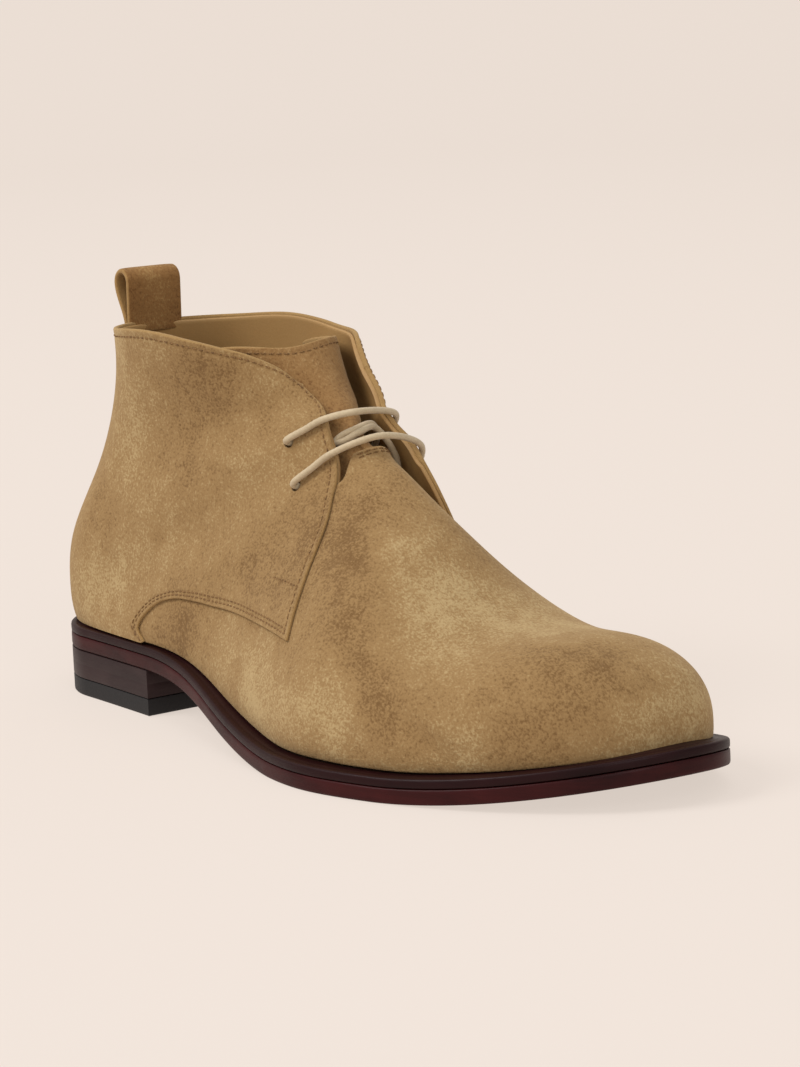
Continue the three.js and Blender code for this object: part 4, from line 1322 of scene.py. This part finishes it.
def lace_strand(outer, inner, across):
    """Under the outer facing, over the tongue at section across and under the inner facing."""
    (at0, angle0), (at1, angle1) = outer, inner
    return [(at0, angle0, INSIDE), (mix(at0, across, 0.6), 0.4, INSIDE), (across, 0.25, INSIDE),
            (across - 2, -0.02, INSIDE + 0.4), (across - 2, -0.3, INSIDE + 0.2),
            (mix(across, at1, 0.6), -mix(0.3, angle1, 0.6), INSIDE), (at1, -angle1, INSIDE)]


def swept_cord(route, lift, radius, sides):
    """A round section along a Catmull-Rom line, its radius swelling with the braid."""
    at, angle, height = np.array(route, float).T
    line = catmull_rom(off_form(at, angle, height + lift(at, angle)), 40 * len(route))
    length = running_length(line)
    count = int(length[-1] / LACE_STEP)
    line = at_length(line, length, np.linspace(0, length[-1], count))
    along = unit(np.gradient(line, axis=0))
    across = np.cross(along[0], [0.3, 0.2, 0.9])
    frames = []
    for direction in along:
        across = unit(across - direction * across.dot(direction))
        frames.append(across)
    across = np.array(frames)
    up = np.cross(along, across)
    turn = np.linspace(0, TURN, sides, endpoint=False)
    plait, run = BRAID_COUNT * turn, np.linspace(0, length[-1], count)[:, None] * BRAID_PITCH
    braid = (1 + BRAID_SWELL * np.abs(np.sin(plait + run))
             + BRAID_BACK_SWELL * np.abs(np.sin(plait - run)))
    braid[:2] *= CORD_END
    braid[-2:] *= CORD_END[::-1]
    ring = across[:, None] * np.cos(turn)[None, :, None] + up[:, None] * np.sin(turn)[None, :, None]
    points = line[:, None] + ring * (radius * LACE_DRAWN * braid)[..., None]
    return points.reshape(-1, 3), grid_faces(count, sides, wrap_columns=True)


def joined(parts):
    """Several sets of points and faces as one."""
    starts = np.cumsum([0] + [len(points) for points, _ in parts])
    faces = np.concatenate([face + start for (_, face), start in zip(parts, starts)])
    return np.concatenate([points for points, _ in parts]), faces


def waxed_cord(name):
    """Beige waxed cotton: fine braid, darker in the braid's hollows, a soft gloss."""
    f = Finish(name, Specular_IOR_Level=0.3, Sheen_Weight=0.15)
    braid = f.noise(0.7, 3.0, 0.6)
    cloud = f.noise(6, 3.0, 0.5)
    colour = f.blend(tint(166, 146, 114), tint(208, 190, 158), (braid * 0.7 + cloud * 0.7 - 0.2).clamped())
    return f.wear(Base_Color=colour, Roughness=0.55 + braid * 0.15, Normal=f.bump(braid, 0.12))


(outer_top, outer_low), (inner_top, inner_low) = EYELETS, INNER_EYELETS
lace_routes = [(lace_bar(outer_top, inner_top), flare), (lace_bar(outer_low, inner_low), flare),
               (lace_strand(outer_low, inner_top, 114), under_flare),
               (lace_strand(outer_top, inner_low, 118), under_flare)]
lace_runs = [swept_cord(*route, LACE_RADIUS, LACE_SIDES) for route in lace_routes]
add_piece("lace", build_mesh("lace", *joined(lace_runs)), waxed_cord("lace_wax"), "lace_cord", "lace")

# %% [markdown]
# ## Stitches
# Every seam is a row of short stitches of thread, each a little arched with its ends pulled into the
# suede. A row follows a line at a set distance inside a cut edge. All the stitches of a row are one
# array: a template of rings, placed along the line by its own three directions.

# %% Stitches
STITCH_PITCH, STITCH_LONG, STITCH_RADIUS = 2.5, 2.0, 0.27
STITCH_RINGS = np.array([[-0.5, 0.35, -0.35], [-0.42, 0.85, -0.12], [-0.2, 1.0, 0.10], [0.2, 1.0, 0.10],
                         [0.42, 0.85, -0.12], [0.5, 0.35, -0.35]])     # along, thickness, height
STITCH_SIDES = 6
SIDE_SEAM_ROWS = (1.5, 3.1)  # from the side seam's edge
LOOK_AHEAD = 0.3             # mm to both sides of a stitch that give its direction


def stitch_row(line, normals, pitch=STITCH_PITCH):
    """Stitch template times the three directions of evenly paced places along the line."""
    length = running_length(line)
    places = np.arange(pitch / 2, length[-1] - pitch / 4, pitch)
    at = at_length(line, length, places)
    along = unit(at_length(line, length, places + LOOK_AHEAD)
                 - at_length(line, length, places - LOOK_AHEAD))
    up = at_length(normals, length, places)
    up = unit(up - along * (up * along).sum(1, keepdims=True))
    across = np.cross(along, up)
    turn = np.linspace(0, TURN, STITCH_SIDES, endpoint=False)
    long, thick, high = STITCH_RINGS.T
    long = long * STITCH_LONG * pitch / STITCH_PITCH
    sideways = thick[:, None] * STITCH_RADIUS * np.cos(turn)
    upwards = thick[:, None] * STITCH_RADIUS * np.sin(turn) + high[:, None] * STITCH_RADIUS * 2
    shape = (along[:, None, None] * long[None, :, None, None]
             + across[:, None, None] * sideways[None, ..., None]
             + up[:, None, None] * upwards[None, ..., None])
    points = at[:, None, None] + shape
    one = grid_faces(len(STITCH_RINGS), STITCH_SIDES, wrap_columns=True)
    caps = np.array([[0, 1, 2, 3], [0, 3, 4, 5]])
    last = (len(STITCH_RINGS) - 1) * STITCH_SIDES
    one = np.concatenate([one, caps[:, ::-1], caps + last])
    size = len(STITCH_RINGS) * STITCH_SIDES
    return points.reshape(-1, 3), (one[None] + size * np.arange(len(at))[:, None, None]).reshape(-1, 4)


def grid_normals(grid, towards):
    """Normals of a grid surface, on the side that points towards a direction on the whole."""
    normal = unit(np.cross(np.gradient(grid, axis=0), np.gradient(grid, axis=1)))
    return normal if (normal * towards).sum(-1).mean() > 0 else -normal


def inset_line(grid, normals, away):
    """The line on a grid at distance away from its first row: between the two rows it lies in."""
    run = lengths_along(grid, 0)
    row = (run < away).sum(0).clip(1, len(grid) - 1)
    column = np.arange(grid.shape[1])
    before, after = run[row - 1, column], run[row, column]
    share = ((away - before) / np.maximum(after - before, 1e-9))[:, None]
    return mix(grid[row - 1, column], grid[row, column], share), normals[row - 1, column]


def make_stitches(name, rows):
    """One piece from several rows; each stitch stays its own closed shape."""
    add_piece(name, build_mesh(name, *joined(rows)), seam_thread, "suede")


def inset_row(grid, normals, trim=slice(None)):
    """A row of stitches along a grid's first row, SEW_ROW inside it."""
    line, up = inset_line(grid, normals, SEW_ROW)
    return stitch_row(line[trim], up[trim])


def turned(grid, last=False):
    """A grid with its columns as rows, the last one first if asked."""
    swapped = np.swapaxes(grid, 0, 1)
    return swapped[::-1] if last else swapped


for side, word in ((-1, "outer"), (1, "inner")):
    grid = quarter_face[side]
    at, angle, u = quarter_grid(side, QUARTER_STEPS)
    normals = grid_normals(grid, form_normal(at, angle))
    collar_row = inset_row(turned(grid, last=True), turned(normals, last=True), slice(3, None))
    rows = [collar_row, inset_row(grid, normals, slice(3, -3))]
    seam = slice(2, int(((u if side < 0 else 1 - u) <= SEAM_SHARE).sum()))
    for away in SIDE_SEAM_ROWS:
        line, up = inset_line(turned(grid), turned(normals), away)
        rows.append(stitch_row(line[seam], up[seam]))
    make_stitches(f"quarter_stitching_{word}", rows)

# %% [markdown]
# The throat has two rows round the vamp's back edge, the facings a short bar of stitches near their
# foot that keeps the seam from tearing, and the tongue and the back strip one row inside their edges.

# %% More stitching
def row_on_form(places, height, pitch=STITCH_PITCH, lift=True):
    """A row through (section, angle) places, lying at a height off the form."""
    at, angle = curve_through(places, 240).T
    extra = flare(at, angle) if lift else 0 * at
    crease = crease_depth(form_point(at, angle))
    return stitch_row(off_form(at, angle, height + extra - crease), form_normal(at, angle), pitch)


BAR_TACK = [(167, 1.07), (175, 1.02), (181, 0.985)]
throat_spread = np.linspace(-0.145, 0.145, 15)


def throat_row(back):
    """Along the vamp's back edge, a set distance in sections in front of it."""
    at = vamp_back(np.abs(throat_spread)) + back
    angle = throat_spread * np.where(throat_spread < 0, feather_angle(at, 1), feather_angle(at, -1))
    return list(zip(at, angle))


make_stitches("throat_stitching", [row_on_form(throat_row(back), 0.02, lift=False) for back in (1.7, 4.2)])
bar_tacks = [row_on_form(BAR_TACK, PROUD, pitch=2.1)]
bar_tacks.append(row_on_form([(at, TURN - angle) for at, angle in BAR_TACK], PROUD, pitch=2.1))
make_stitches("bar_tacks", bar_tacks)

tongue_normals = grid_normals(tongue_face, np.array([0.5, 0, 0.8]))
strip_normals = grid_normals(strip_face, np.array([-1.0, 0, 0]))
tongue_rows = [inset_row(tongue_face, tongue_normals, slice(4, -4))]
strip_rows = []
for last in (False, True):
    tongue_rows.append(inset_row(turned(tongue_face, last), turned(tongue_normals, last), slice(4, -4)))
    strip_rows.append(inset_row(turned(strip_face, last), turned(strip_normals, last)))
make_stitches("tongue_stitching", tongue_rows)
make_stitches("strip_stitching", strip_rows)

# %% [markdown]
# ## Floor and light
# The boot stands on a plain pale floor that sweeps up behind it, so there is no horizon. A large
# soft light from the left and above shapes the leather, a weaker one fills from the right, and the
# pale surroundings lift the shadows.

# %% Floor
FLOOR_NEAR, FLOOR_FAR, SWEEP = 3.0, 3.2, 1.6
FLOOR_HALF, WALL_TOP = 6.0, 5.0


def make_floor():
    """A flat floor whose far side, seen from the camera, turns up along a quarter circle."""
    away = -Vector((math.sin(CAMERA_AZIMUTH), -math.cos(CAMERA_AZIMUTH), 0))
    across = away.cross(Vector((0, 0, 1)))
    turn = np.linspace(0, np.pi / 2, 33)
    level, curved = [-FLOOR_NEAR, 0, FLOOR_FAR / 2], FLOOR_FAR + SWEEP * np.sin(turn)
    run = np.concatenate([level, curved, [FLOOR_FAR + SWEEP]])
    rise = np.concatenate([[0, 0, 0], SWEEP * (1 - np.cos(turn)), [WALL_TOP]])
    side = np.linspace(-FLOOR_HALF, FLOOR_HALF, 13)
    points = (run[:, None, None] * np.array(away) + side[None, :, None] * np.array(across)
              + rise[:, None, None] * np.array([0, 0, 1.0]))
    mesh = bpy.data.meshes.new("floor")
    faces = grid_faces(len(run), len(side))
    mesh.from_pydata(points.reshape(-1, 3).tolist(), [], faces.tolist())
    mesh.shade_smooth()
    floor = bpy.data.objects.new("floor", mesh)
    bpy.context.scene.collection.objects.link(floor)
    f = Finish("pale_floor", Roughness=1.0, Specular_IOR_Level=0.0, Emission_Strength=0.755)
    f.shader.inputs["Base Color"].default_value = tint(115, 110, 107)
    f.shader.inputs["Emission Color"].default_value = tint(242, 229, 218)
    mesh.materials.append(f.material)
    return floor


floor = make_floor()

# %% Lights
def soft_light(name, place, aim, size, watts, colour=(1.0, 1.0, 1.0)):
    """A square area light at place, turned towards aim."""
    data = bpy.data.lights.new(name, "AREA")
    data.size, data.energy, data.color = size, watts, colour
    light = bpy.data.objects.new(name, data)
    bpy.context.scene.collection.objects.link(light)
    aimed = (Vector(aim) - Vector(place)).to_track_quat("-Z", "Y").to_matrix().to_4x4()
    light.matrix_world = Matrix.Translation(Vector(place)) @ aimed
    return light


BOOT_MIDDLE = (0.0, 0.0, 0.06)
soft_light("key", (-1.2, -3.0, 3.6), BOOT_MIDDLE, 2.2, 150, (1.0, 0.985, 0.97))
soft_light("front_fill", (3.4, -1.2, 2.0), BOOT_MIDDLE, 2.0, 40)
soft_light("top", (0.0, 0.4, 4.4), BOOT_MIDDLE, 2.5, 30)
world = bpy.data.worlds.new("studio")
world.use_nodes = True
world.node_tree.nodes["Background"].inputs["Color"].default_value = tint(248, 246, 246)
world.node_tree.nodes["Background"].inputs["Strength"].default_value = 0.55
bpy.context.scene.world = world
bpy.context.scene.view_settings.view_transform = "Standard"
